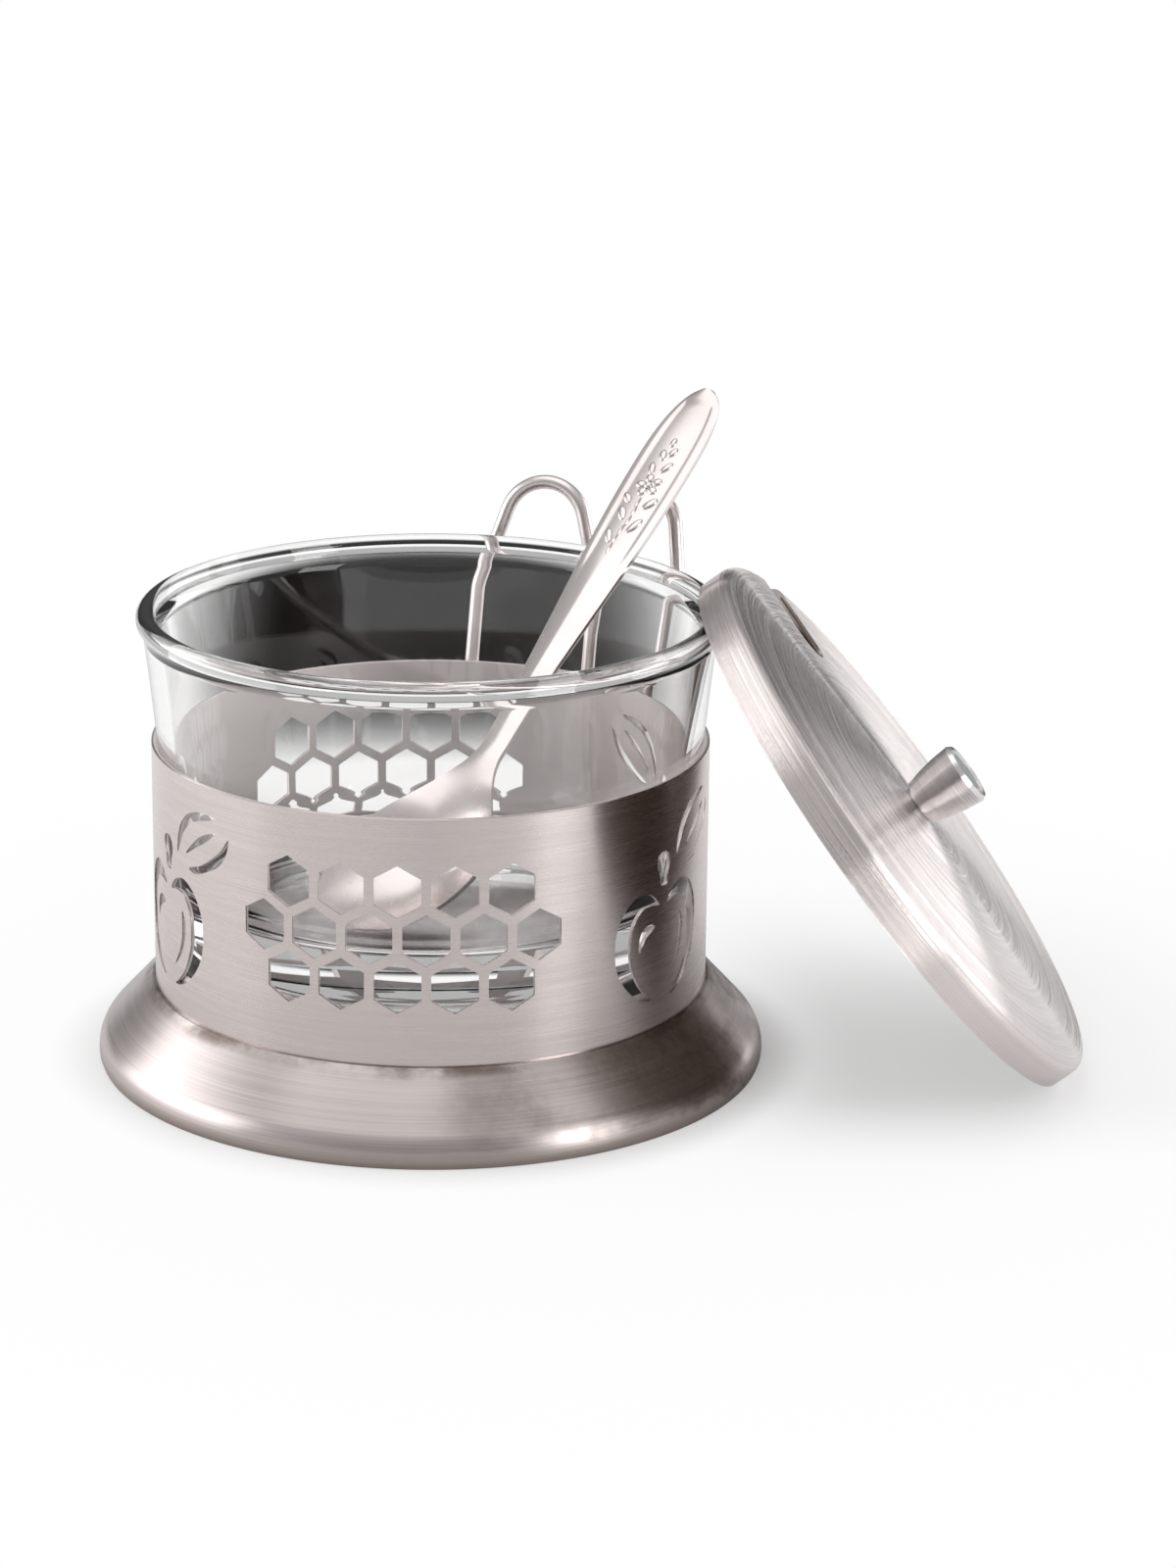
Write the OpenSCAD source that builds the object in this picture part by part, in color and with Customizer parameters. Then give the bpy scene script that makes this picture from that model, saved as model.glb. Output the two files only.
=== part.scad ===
// Honey dish: a glass bowl in a pierced steel stand, with a wire spoon rest, a spoon and a lid.
// Millimetres, Z up, the table at z = 0, the bowl's axis at x = y = 0, the front towards -Y.

/* [Glass bowl] */
// Outside radius of the rolled rim
rim_r = 46; // [45:0.1:50]
// Thickness of the rolled rim
rim_bead_d = 3.2; // [2.8:0.1:4]
// How far the wall lies inside the rim where the bowl enters the sleeve
waist_inset = 3; // [2.5:0.1:4]
// How much further in the wall lies at its foot
base_inset = 2.6; // [1.5:0.1:5]
// Thickness of the wall
bowl_wall = 2.6; // [2:0.1:3]
// Height from the seat to the top of the rim
bowl_h = 54.2; // [50:0.1:60]
// Thickness of the heavy base
bowl_base_t = 9.1; // [5:0.1:12]
// Rounding of the heel outside
bowl_heel_r = 3; // [1:0.1:4]
// Rounding of the corner inside
bowl_corner_r = 3; // [1:0.1:5]

/* [Stand] */
// Gap between the glass and the sleeve's upper edge
bowl_gap = 0.3; // [0.2:0.05:1]
// Sheet thickness of the sleeve
sleeve_t = 0.6; // [0.5:0.05:1]
// Height of the sleeve
sleeve_h = 39.2; // [38:0.1:44]
// Height of the foot's shoulder, where the sleeve stands
shoulder_z = 13; // [12:0.1:16]
// How far the foot spreads past the sleeve
foot_flare = 9.2; // [8:0.1:11]
// Radius of the roll at the foot's edge
foot_roll_r = 5.5; // [4.5:0.1:6.5]
// Height of the straight edge under the roll
foot_edge_h = 1.4; // [1:0.1:2]
// Sheet thickness of the foot
foot_sheet = 0.9; // [0.6:0.1:1.2]
// Width of the turned-in rim that stands on the table
foot_rim_w = 3; // [2:0.1:5]
// How far the shoulder stands out past the sleeve
shoulder_lip = 0.6; // [0.3:0.05:0.9]
// Height of the collar inside the sleeve
collar_h = 5.3; // [3:0.1:8]
// Gap round the collar and the floor plate inside the sleeve
sleeve_fit_gap = 0.1; // [0.05:0.05:0.3]
// Thickness of the floor plate
plate_t = 1; // [0.6:0.1:2]

/* [Cut-outs] */
// Width of a comb cell across its flats
cell_w = 7.2; // [5:0.1:8]
// Steel left between two cells
cell_web = 1.5; // [1:0.1:3]
// Cells in the middle row of a comb
comb_columns = 6; // [4:1:7]
// Height of the combs' middle row above the shoulder
comb_rise = 20.1; // [18:0.1:22]
// Height of the apples' centres above the shoulder
apple_rise = 13.7; // [13:0.1:16]
// Half the width of an apple
apple_r = 11.2; // [10:0.1:11.8]
// Steel left between a comb and an apple
apple_gap = 10.1; // [8:0.1:11]
// Distance round the sleeve between the two apples on the left
apple_pitch = 31; // [29:0.1:34]
// Place of the second apple on the right, as a share of the way from the first to the back comb
apple_share = 0.53; // [0.48:0.01:0.56]
// Direction of the front comb, from the front towards the right
panel_turn = -6.5; // [-10:0.5:10]

/* [Spoon rest] */
// Wire diameter
wire_d = 2.3; // [2:0.1:3]
// Height of the arches above the rim, to the wire's centre
arch_over_rim = 8.2; // [6:0.1:14]
// Half the span of the wide arch
wide_arch_half = 10.6; // [9:0.1:13]
// Radius of the top of the wide arch
wide_arch_r = 7; // [5:0.1:8]
// Half the span of the narrow arch
narrow_arch_half = 8.5; // [7:0.1:10]
// Radius of the top of the narrow arch
narrow_arch_r = 5.2; // [4:0.1:6]
// Direction of the wide arch, from the back towards the right
wide_arch_angle = 22.6; // [15:0.1:30]
// How far the legs of the two arches lie apart where they join
leg_shift = 0.6; // [0.2:0.1:1]
// How far the arches lean outwards
rest_lean = 13; // [11:0.5:15]
// How far the sides of an arch spread
arch_splay = 17; // [12:0.5:22]
// Length of leg welded to the sleeve
weld_len = 5; // [4:0.1:5.6]
// Sleeve left free above the welds
weld_drop = 1.1; // [0.6:0.1:1.6]
// Radius of the small bends in the wire
wire_bend_r = 8; // [6:0.1:12]
// Gap between the welded legs and the sleeve
weld_gap = 0.08; // [0.05:0.01:0.2]

/* [Spoon] */
// Length from the tip of the bowl to the end of the handle
spoon_l = 117.5; // [112:0.5:125]
// Length of the bowl
spoon_bowl_l = 42; // [38:0.5:46]
// Width of the bowl
spoon_bowl_w = 26; // [22:0.5:28]
// Depth of the bowl
spoon_bowl_depth = 6; // [4:0.1:7]
// Width of the neck
spoon_neck_w = 4.6; // [3.5:0.1:6]
// Width of the handle near its end
spoon_handle_w = 10.9; // [8:0.1:12]
// Thickness of the handle
spoon_t = 2; // [1.4:0.1:2.6]
// Thickness of the bowl
spoon_bowl_t = 1.1; // [0.8:0.1:1.6]
// Direction of the handle, from the back towards the right
spoon_turn = 37.5; // [34:0.5:40]
// Distance left between the spoon's bowl and the glass wall
spoon_wall_gap = 1.6; // [1:0.1:3]
// How far the bowl tips up from the line of the handle
spoon_bowl_tip = 9; // [5:0.5:12]
// Gap between the handle and the wire, and the bowl and the glass
spoon_gap = 0.3; // [0.2:0.05:0.6]

/* [Lid] */
// Gap between the lid's band and the rim
lid_gap = 1.1; // [0.6:0.1:2]
// Sheet thickness of the lid
lid_t = 0.7; // [0.5:0.05:1]
// Height of the band, to the upper edge
lid_band_h = 5.6; // [4:0.1:9]
// Rounding of the upper edge
lid_edge_r = 2; // [1.2:0.1:2.6]
// Rise of the top towards the knob
lid_rise = 1.9; // [1:0.1:5]
// Width of the spoon slot
slot_w = 7.2; // [5:0.1:10]
// Length of the spoon slot from the band inwards
slot_l = 17; // [10:0.1:22]
// Direction of the slot, from the uppermost point of the leaning lid
slot_angle = 38; // [20:1:50]
// Rise of the leaning lid's upper edge past the rim
lid_over_rim = 2.1; // [1.8:0.1:3]
// Gap between the leaning lid's edge and the rim
lid_lean_gap = 0.85; // [0.6:0.05:1.2]
// Direction in which the lid leans, from +X towards the back
lid_turn = -4.5; // [-10:0.5:5]

/* [Knob] */
// Radius of the knob at the lid
knob_base_r = 3.7; // [2.6:0.1:4]
// Radius of the knob at the top
knob_top_r = 5.1; // [4.6:0.1:7]
// Height of the knob
knob_h = 9.3; // [8:0.1:14]
// Width of the rim round the stone
knob_rim_w = 0.7; // [0.4:0.1:1]
// Height of the bevel at the top of the knob
knob_bevel = 0.7; // [0.3:0.1:1]
// Depth of the seat for the stone
stone_seat = 1.2; // [0.8:0.1:2]
// Height of the stone above the knob
stone_crown = 0.4; // [0.2:0.1:1.5]
// Gap round the stone
stone_gap = 0.1; // [0.05:0.05:0.2]
// Screw shank radius
screw_r = 1.45; // [1.2:0.05:1.6]
// Gap round the screw
screw_gap = 0.08; // [0.04:0.01:0.15]
// Depth of the screw in the knob
screw_depth = 5; // [3:0.1:6]
// Radius of the screw head
screw_head_r = 2.8; // [2.4:0.1:3.5]
// Height of the screw head
screw_head_h = 1.6; // [1.2:0.1:2.4]
// Radius of the washer
washer_r = 4.2; // [3.8:0.1:6]
// Thickness of the washer
washer_t = 0.6; // [0.4:0.1:1]

/* [Hidden] */
$fn = 96;
past = 1;      // how far a cut runs past the face that it opens
far = 200;     // longer than any piece

// Stand, from the glass outwards
bowl_waist_r = rim_r - waist_inset;
bowl_base_r = bowl_waist_r - base_inset;
sleeve_in_r = bowl_waist_r + bowl_gap;
sleeve_r = sleeve_in_r + sleeve_t;
foot_r = sleeve_r + foot_flare;
collar_r = sleeve_in_r - sleeve_fit_gap;
shoulder_r = sleeve_r + shoulder_lip;
roll_x = foot_r - foot_roll_r;
flare_run = [shoulder_r - roll_x, shoulder_z - foot_edge_h];   // from the roll's centre to the shoulder
flare_turn = atan2(flare_run.y, flare_run.x) - acos(foot_roll_r / norm(flare_run));   // where flare and roll meet
collar_top = shoulder_z + collar_h;
seat_z = collar_top + plate_t;
sleeve_top = shoulder_z + sleeve_h;

// Glass bowl
rim_top = seat_z + bowl_h;
bead_r = rim_bead_d / 2;
bead_x = rim_r - bead_r;
bead_z = rim_top - bead_r;
bowl_floor = seat_z + bowl_base_t;

// Cut-outs: directions run from the front towards the right
cell_pitch = cell_w + cell_web;
comb_half = comb_columns * cell_pitch / 2 - cell_web / 2;
function round_sleeve(length) = length / sleeve_r * 180 / PI;
cell_turn = round_sleeve(cell_pitch);
apple_near = round_sleeve(comb_half + apple_gap + apple_r);
apple_left = apple_near + round_sleeve(apple_pitch);
comb_turn = apple_left + apple_near;
apple_right = apple_near + apple_share * (360 - comb_turn - round_sleeve(comb_half) - apple_near);
comb_places = [panel_turn, panel_turn - comb_turn];
apple_places = [for (turn = [apple_near, apple_right, -apple_near, -apple_left]) panel_turn + turn];
cell_row = cell_pitch * sqrt(3) / 2;

// Slots that draw an apple, as shares of half its width: a side, its gleams, its stem and its leaf
apple_side = [[0.1, 0.55], [0.21, 0.69], [0.41, 0.78], [0.6, 0.765], [0.8, 0.64], [0.95, 0.41], [1, 0.1],
    [0.95, -0.23], [0.79, -0.495], [0.54, -0.715], [0.3, -0.815], [0.2, -0.81], [0.3, -0.745], [0.5, -0.545],
    [0.65, -0.25], [0.697, 0.05], [0.66, 0.34], [0.5, 0.545], [0.3, 0.58]];
apple_slots = [
    [[-0.18, 0.26], [-0.27, 0.205], [-0.38, 0.15], [-0.46, 0.05], [-0.52, -0.045], [-0.55, 0.06],
     [-0.51, 0.21], [-0.42, 0.295], [-0.3, 0.32]],
    [[0.446, 0.31], [0.53, 0.21], [0.545, 0.05], [0.5, -0.15], [0.4, -0.34], [0.2, -0.535], [0.35, -0.3],
     [0.43, -0.09], [0.44, 0.13]],
    [[-0.07, 0.83], [0.08, 0.81], [0.11, 0.95], [0.16, 1.12], [0.1, 1.26], [-0.02, 1.295], [-0.13, 1.25],
     [-0.16, 1.13], [-0.1, 0.97]],
    [[0.34, 1.14], [0.43, 1.29], [0.56, 1.5], [0.78, 1.68], [1.1, 1.785], [1.32, 1.86], [1.04, 1.88],
     [0.7, 1.79], [0.47, 1.6], [0.36, 1.37]],
    [[0.6, 1.19], [0.87, 1.345], [1.1, 1.48], [1.285, 1.65], [1, 1.54], [0.78, 1.375]],
    [[0.67, 1], [0.85, 0.955], [1.14, 1.07], [1.36, 1.2], [1.5, 1.4], [1.545, 1.625], [1.4, 1.43],
     [1.2, 1.26], [0.95, 1.1]]];
slot_steps = 2;

// Spoon rest
arch_z = rim_top + arch_over_rim;
weld_top = sleeve_top - weld_drop;
weld_r = sleeve_r + weld_gap + wire_d / 2;
narrow_arch_angle = wide_arch_angle + asin(wide_arch_half / weld_r) + asin(narrow_arch_half / weld_r)
    - asin(leg_shift / weld_r);
lean_rise = wire_bend_r * sin(rest_lean);
arch_up = (arch_z - weld_top - lean_rise) / cos(rest_lean);
arch_out = wire_bend_r * (1 - cos(rest_lean)) + arch_up * sin(rest_lean);
junction_up = arch_up * 0.17;   // where the narrow arch joins the leg of the wide one
lean_len = wire_bend_r * rest_lean * PI / 180;
leg_run = [-lean_len - weld_len, -lean_len, -lean_len / 2, 0];
wire_sides = 16;

// Spoon: s runs from the tip of the bowl along the handle, z from the underside of the handle
spoon_wide_s = spoon_bowl_l * 0.42;           // widest place of the bowl
spoon_handle_s = spoon_l - spoon_handle_w * 1.65;  // widest place of the handle
spoon_rings = 14;                             // rings in each stretch of the spoon
spoon_across = 12;                            // strips across the spoon
spoon_tip_w = 0.6;                            // width of the flat that closes each end
spoon_crown = 0.5;                            // how far the handle's upper face swells

// The spoon slopes from the top of the narrow arch to the foot of the glass wall opposite
rest_r = sqrt(weld_r * weld_r - narrow_arch_half * narrow_arch_half) + arch_out;
spoon_reach = rest_r + bowl_base_r - bowl_wall - spoon_bowl_l * 0.45 - spoon_wall_gap;
spoon_slope = atan((arch_z + wire_d / 2 - bowl_floor) / spoon_reach);

// Lid
lid_in_r = rim_r + lid_gap;
lid_r = lid_in_r + lid_t;
lid_top = lid_band_h + lid_rise;
lid_flat_r = washer_r + past;
lid_upper_z = rim_top + lid_over_rim;
lid_lean = asin(lid_upper_z / (2 * lid_r));
cross_cos = 2 * (rim_top + lid_lean_gap) / lid_upper_z - 1;
cross_y = lid_r * sqrt(1 - cross_cos * cross_cos);
lid_x = sqrt(bead_x * bead_x - cross_y * cross_y) + lid_r * cos(lid_lean) * cross_cos;
table_gap = 0.05;

// Knob
stone_r = knob_top_r - knob_rim_w - stone_gap;
stone_sides = 10;
screw_hole_r = screw_r + screw_gap;

// Points on an arc round c
function arc(c, r, from, to, steps = 10) =
    [for (i = [0:steps]) let (a = from + (to - from) * i / steps) c + r * [cos(a), sin(a)]];

// Section of the foot: up the roll and the straight flare to the collar, then back down the inside
module foot_section() {
    roll = [roll_x, foot_edge_h];
    low = asin((foot_sheet - foot_edge_h) / (foot_roll_r - foot_sheet));
    corner = shoulder_r - foot_sheet * (cos(flare_turn) - (1 - sin(flare_turn)) * tan(flare_turn));
    polygon(concat(
        [[foot_r - foot_rim_w, 0], [foot_r, 0]],
        arc(roll, foot_roll_r, 0, flare_turn),
        [[shoulder_r, shoulder_z], [collar_r, shoulder_z], [collar_r, collar_top],
         [collar_r - foot_sheet, collar_top], [collar_r - foot_sheet, shoulder_z - foot_sheet],
         [corner, shoulder_z - foot_sheet]],
        arc(roll, foot_roll_r - foot_sheet, flare_turn, low),
        [[foot_r - foot_rim_w, foot_sheet]]));
}

module foot() {
    color("silver") rotate_extrude() foot_section();
}

module floor_plate() {
    color("gainsboro") translate([0, 0, collar_top]) cylinder(r = collar_r, h = plate_t);
}

// A flat outline cut through the sleeve at a direction and height
module pierce(turn, z) {
    rotate([0, 0, turn]) translate([0, -sleeve_r, z]) rotate([90, 0, 0])
        linear_extrude(height = sleeve_r / 2, center = true) children();
}

// Three rows of hexagonal cells, the middle row the longest
module comb(turn) {
    for (row = [-1:1]) {
        count = comb_columns - abs(row);
        for (i = [0:count - 1])
            pierce(turn + (i - (count - 1) / 2) * cell_turn, shoulder_z + comb_rise + row * cell_row)
                rotate(30) circle(d = cell_w / cos(30), $fn = 6);
    }
}

// A closed smooth line through the given points
function smooth_ring(points) = let (n = len(points)) [
    for (i = [0:n - 1], k = [0:slot_steps - 1])
        let (t = k / slot_steps, before = points[(i + n - 1) % n], here = points[i],
             next = points[(i + 1) % n], after = points[(i + 2) % n])
        here + (next - before) * t / 2 + (2 * before - 5 * here + 4 * next - after) * t * t / 2
            + (3 * here - before - 3 * next + after) * t * t * t / 2];

// Apple with stem and leaf, held in the sleeve by bridges above and below
module apple() {
    side = apple_r * smooth_ring(apple_side);
    polygon(side);
    mirror([1, 0]) polygon(side);
    for (slot = apple_slots) polygon(apple_r * smooth_ring(slot));
}

module sleeve() {
    color("lightsteelblue") difference() {
        translate([0, 0, shoulder_z]) cylinder(r = sleeve_r, h = sleeve_h);
        translate([0, 0, shoulder_z - past]) cylinder(r = sleeve_in_r, h = sleeve_h + 2 * past);
        for (turn = comb_places) comb(turn);
        for (turn = apple_places) pierce(turn, shoulder_z + apple_rise) apple();
    }
}

// Length of the sloping side of an arch, and height of its straight leg
function arch_slope(half, top_r) =
    (half - wire_bend_r * (1 - cos(arch_splay)) - top_r * cos(arch_splay)) / sin(arch_splay);
function arch_leg(half, top_r) =
    arch_up - top_r * (1 - sin(arch_splay)) - arch_slope(half, top_r) * cos(arch_splay)
    - wire_bend_r * sin(arch_splay);

// Places along an arch in its own plane, each [across, up, heading], from the left leg to the right
function arch_run(half, top_r, first) = let (leg = arch_leg(half, top_r)) concat(
    [for (v = first) [-half, v, 0]],
    [for (h = [0:arch_splay / 4:arch_splay])
        [wire_bend_r * (1 - cos(h)) - half, leg + wire_bend_r * sin(h), h]],
    [for (i = [0:16]) let (h = arch_splay + (180 - 2 * arch_splay) * i / 16)
        [-top_r * cos(h), arch_up - top_r * (1 - sin(h)), h]],
    [for (h = [arch_splay:-arch_splay / 4:0])
        [half - wire_bend_r * (1 - cos(h)), leg + wire_bend_r * sin(h), 180 - h]],
    [for (i = [len(leg_run) - 1:-1:0]) [half, leg_run[i], 180]]);

// Tilt of the wire and its place out from the sleeve and up, for a height along the arch
function tilt(v) = rest_lean * min(1, max(0, 1 + v / lean_len));
function out_up(v) =
    v > 0 ? [wire_bend_r * (1 - cos(rest_lean)) + v * sin(rest_lean), lean_rise + v * cos(rest_lean)] :
    v > -lean_len ? [wire_bend_r * (1 - cos(tilt(v))), wire_bend_r * sin(tilt(v))] :
    [0, v + lean_len];

// Ring of points round the wire at one place
function wire_ring(p) = let (o = out_up(p[1]), t = tilt(p[1])) [
    for (k = [0:wire_sides - 1])
        let (a = 360 * k / wire_sides, n = cos(a) * wire_d / 2, b = sin(a) * wire_d / 2)
        [p[0] + n * cos(p[2]),
         o[0] - n * sin(p[2]) * sin(t) + b * cos(t),
         o[1] - n * sin(p[2]) * cos(t) - b * sin(t)]];

// An arch that faces outwards at an angle from the back, with its legs against the sleeve
module wire_arch(angle, half, run) {
    sides = [for (i = [0:len(run) - 2], k = [0:wire_sides - 1])
        let (a = i * wire_sides + k, b = i * wire_sides + (k + 1) % wire_sides)
        each [[a, a + wire_sides, b], [b, a + wire_sides, b + wire_sides]]];
    ends = [[for (k = [0:wire_sides - 1]) k],
            [for (k = [wire_sides - 1:-1:0]) (len(run) - 1) * wire_sides + k]];
    rotate([0, 0, -angle]) translate([0, sqrt(weld_r * weld_r - half * half), weld_top])
        polyhedron(points = [for (p = run) each wire_ring(p)], faces = concat(sides, ends));
}

module spoon_rest() {
    color("whitesmoke") {
        wire_arch(wide_arch_angle, wide_arch_half, arch_run(wide_arch_half, wide_arch_r, leg_run));
        wire_arch(narrow_arch_angle, narrow_arch_half,
                  arch_run(narrow_arch_half, narrow_arch_r, [junction_up]));
    }
}

// Bowl wall between an outline and the axis, with a rounded lower corner
module bowl_side(low, corner, base, waist, upper) {
    translate([base - corner, low + corner]) circle(r = corner);
    translate([0, low]) square([base - corner, corner]);
    polygon([[0, low + corner], [base, low + corner], [waist, sleeve_top],
             [upper, bead_z], [upper, rim_top + past], [0, rim_top + past]]);
}

module glass_bowl() {
    color("azure", 0.5) rotate_extrude() {
        difference() {
            intersection() {
                bowl_side(seat_z, bowl_heel_r, bowl_base_r, bowl_waist_r, rim_r - bead_r / 2);
                square([far, bead_z]);
            }
            bowl_side(bowl_floor, bowl_corner_r, bowl_base_r - bowl_wall,
                      bowl_waist_r - bowl_wall, rim_r - rim_bead_d);
        }
        translate([bead_x, bead_z]) circle(r = bead_r);
    }
}

function ease(x) = let (t = min(1, max(0, x))) t * t * (3 - 2 * t);

// Half the width of the spoon
function spoon_half(s) =
    s < spoon_wide_s ? max(spoon_tip_w, spoon_bowl_w * sqrt(max(0, 1 - pow(1 - s / spoon_wide_s, 2)))) / 2 :
    s < spoon_bowl_l ? (spoon_bowl_w + (spoon_neck_w - spoon_bowl_w)
        * ease((s - spoon_wide_s) / (spoon_bowl_l - spoon_wide_s))) / 2 :
    s < spoon_handle_s ? (spoon_neck_w + (spoon_handle_w - spoon_neck_w)
        * ease((s - spoon_bowl_l) / (spoon_handle_s - spoon_bowl_l))) / 2 :
    max(spoon_tip_w, spoon_handle_w
        * sqrt(max(0, 1 - pow((s - spoon_handle_s) / (spoon_l - spoon_handle_s), 2)))) / 2;

// Share of the spoon's form that is bowl: 1 at the tip, 0 along the handle
function spoon_bowl_share(s) = 1 - ease((s - spoon_wide_s) / (spoon_bowl_l * 1.15 - spoon_wide_s));

// Height of the upper and lower faces, v across from -1 to 1
function spoon_upper(s, v) = let (b = spoon_bowl_share(s), w = 2 * spoon_half(s) / spoon_bowl_w)
    spoon_t + max(0, spoon_bowl_l - s) * tan(spoon_bowl_tip)
    + (1 - b) * spoon_crown * (1 - v * v) - b * spoon_bowl_depth * min(1, w * w) * (1 - v * v);
function spoon_lower(s, v) = let (b = spoon_bowl_share(s), edge = 0.35 + 0.65 * sqrt(1 - v * v))
    spoon_upper(s, v) - (b * spoon_bowl_t + (1 - b) * (spoon_t + spoon_crown * (1 - v * v)) * edge);

// Rings lie closer together towards both rounded ends
spoon_stations = concat(
    [for (i = [0:spoon_rings]) spoon_wide_s * (1 - cos(90 * i / spoon_rings))],
    [for (i = [1:spoon_rings]) spoon_wide_s + (spoon_handle_s - spoon_wide_s) * i / spoon_rings],
    [for (i = [1:spoon_rings]) spoon_handle_s + (spoon_l - spoon_handle_s) * sin(90 * i / spoon_rings)]);
spoon_strips = [for (j = [0:spoon_across]) -cos(180 * j / spoon_across)];
function spoon_ring(s) = concat(
    [for (v = spoon_strips) [s, v * spoon_half(s), spoon_upper(s, v)]],
    [for (v = spoon_strips) [s, -v * spoon_half(s), spoon_lower(s, -v)]]);
spoon_points = [for (s = spoon_stations) each spoon_ring(s)];

// Where the handle lies on the narrow arch, and how far from the tip
spoon_rest_at = [rest_r * sin(narrow_arch_angle), rest_r * cos(narrow_arch_angle),
                 arch_z + (wire_d / 2 + spoon_gap) / cos(spoon_slope)];
spoon_lowest = min([for (p = spoon_points) p[0] * sin(spoon_slope) + p[2] * cos(spoon_slope)]);
spoon_rest_s = (spoon_rest_at[2] + spoon_lowest - bowl_floor - spoon_gap) / sin(spoon_slope);

module spoon() {
    around = 2 * len(spoon_strips);
    last = len(spoon_stations) - 1;
    sides = [for (i = [0:last - 1], j = [0:around - 1])
        let (a = i * around + j, b = i * around + (j + 1) % around)
        each [[a, a + around, b], [b, a + around, b + around]]];
    ends = [[for (j = [0:around - 1]) j], [for (j = [around - 1:-1:0]) last * around + j]];
    color("white") translate(spoon_rest_at) rotate([0, -spoon_slope, 90 - spoon_turn])
        translate([-spoon_rest_s, 0, 0]) polyhedron(points = spoon_points, faces = concat(sides, ends));
}

// Leaning lid: its lower edge on the table, its upper edge over the rim of the bowl
module lid_place() {
    rotate([0, 0, lid_turn]) translate([lid_x, 0, lid_r * sin(lid_lean) + table_gap])
        rotate([0, lid_lean, 0]) children();
}

// The region under the lid's skin, shrunk by inset
module lid_section(inset) {
    edge = lid_edge_r - inset;
    square([lid_r - inset, lid_band_h - lid_edge_r]);
    translate([lid_r - lid_edge_r, lid_band_h - lid_edge_r]) circle(r = edge);
    polygon([[0, 0], [lid_r - lid_edge_r, 0], [lid_r - lid_edge_r, lid_band_h - inset],
             [lid_flat_r, lid_top - inset], [0, lid_top - inset]]);
}

module lid() {
    color("silver") lid_place() difference() {
        rotate_extrude() difference() {
            intersection() {
                lid_section(0);
                square(far);
            }
            translate([0, -past]) square([lid_r - lid_t, past]);
            lid_section(lid_t);
        }
        translate([0, 0, -past]) cylinder(r = screw_hole_r, h = lid_top + 2 * past);
        rotate([0, 0, 180 - slot_angle]) translate([lid_r - slot_l + slot_w / 2, 0, -past])
            linear_extrude(height = lid_top + 2 * past) {
                circle(d = slot_w);
                translate([0, -slot_w / 2]) square([slot_l, slot_w]);
            }
    }
}

module lid_knob() {
    color("gainsboro") lid_place() translate([0, 0, lid_top]) difference() {
        union() {
            cylinder(r1 = knob_base_r, r2 = knob_top_r, h = knob_h - knob_bevel);
            translate([0, 0, knob_h - knob_bevel])
                cylinder(r1 = knob_top_r, r2 = knob_top_r - knob_rim_w * 0.6, h = knob_bevel);
        }
        translate([0, 0, knob_h - stone_seat]) cylinder(r = knob_top_r - knob_rim_w, h = stone_seat + past);
        translate([0, 0, -past]) cylinder(r = screw_hole_r, h = screw_depth + past + screw_gap);
    }
}

module knob_crystal() {
    color("aliceblue") lid_place() translate([0, 0, lid_top + knob_h - stone_seat]) {
        cylinder(r = stone_r, h = stone_seat, $fn = stone_sides);
        translate([0, 0, stone_seat])
            cylinder(r1 = stone_r, r2 = stone_r * 0.8, h = stone_crown, $fn = stone_sides);
    }
}

module knob_washer() {
    color("darkgray") lid_place() translate([0, 0, lid_top - lid_t - washer_t]) difference() {
        cylinder(r = washer_r, h = washer_t);
        translate([0, 0, -past]) cylinder(r = screw_hole_r, h = washer_t + 2 * past);
    }
}

module knob_screw() {
    color("darkgray") lid_place() translate([0, 0, lid_top - lid_t - washer_t - screw_head_h]) {
        cylinder(r = screw_head_r, h = screw_head_h);
        cylinder(r = screw_r, h = screw_head_h + washer_t + lid_t + screw_depth);
    }
}

foot();
floor_plate();
sleeve();
spoon_rest();
glass_bowl();
spoon();
lid();
lid_knob();
knob_crystal();
knob_washer();
knob_screw();
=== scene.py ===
"""Honey dish: a glass bowl in a pierced steel stand, with a wire spoon rest, a spoon and a leaning lid."""

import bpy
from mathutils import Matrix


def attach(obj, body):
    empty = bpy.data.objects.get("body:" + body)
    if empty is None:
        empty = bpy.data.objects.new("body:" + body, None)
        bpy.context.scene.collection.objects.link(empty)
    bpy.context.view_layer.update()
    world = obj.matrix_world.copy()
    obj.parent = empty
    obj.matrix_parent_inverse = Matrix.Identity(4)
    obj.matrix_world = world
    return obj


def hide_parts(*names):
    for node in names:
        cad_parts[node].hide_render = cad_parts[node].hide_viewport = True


bl_info = {
    "name": "Honey dish",
    "version": (1, 0, 0),
    "blender": (4, 5, 0),
    "location": "View3D > Sidebar > Dish",
    "description": "Models a glass honey dish in a pierced steel stand, with its spoon and its lid",
    "category": "Object",
}

import math

import bpy
from mathutils import Euler, Matrix, Vector

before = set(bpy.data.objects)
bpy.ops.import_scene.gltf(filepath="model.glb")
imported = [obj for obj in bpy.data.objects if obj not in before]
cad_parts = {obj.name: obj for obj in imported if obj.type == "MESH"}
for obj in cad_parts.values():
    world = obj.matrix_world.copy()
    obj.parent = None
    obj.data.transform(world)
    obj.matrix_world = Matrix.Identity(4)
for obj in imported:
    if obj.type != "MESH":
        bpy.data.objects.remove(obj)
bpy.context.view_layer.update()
MM = 0.001
CLEAR = 0.05 * MM        # keeps two touching faces from lying in one plane
FIT = 0.1 * MM           # gap round the collar in the sleeve, and round the stone in the knob
WELD_GAP = 0.08 * MM     # gap between the welded legs and the sleeve
FOOT_HEM = 3 * MM        # how far the foot's lower edge is turned in
PLATE = 1 * MM           # thickness of the floor plate
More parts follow.
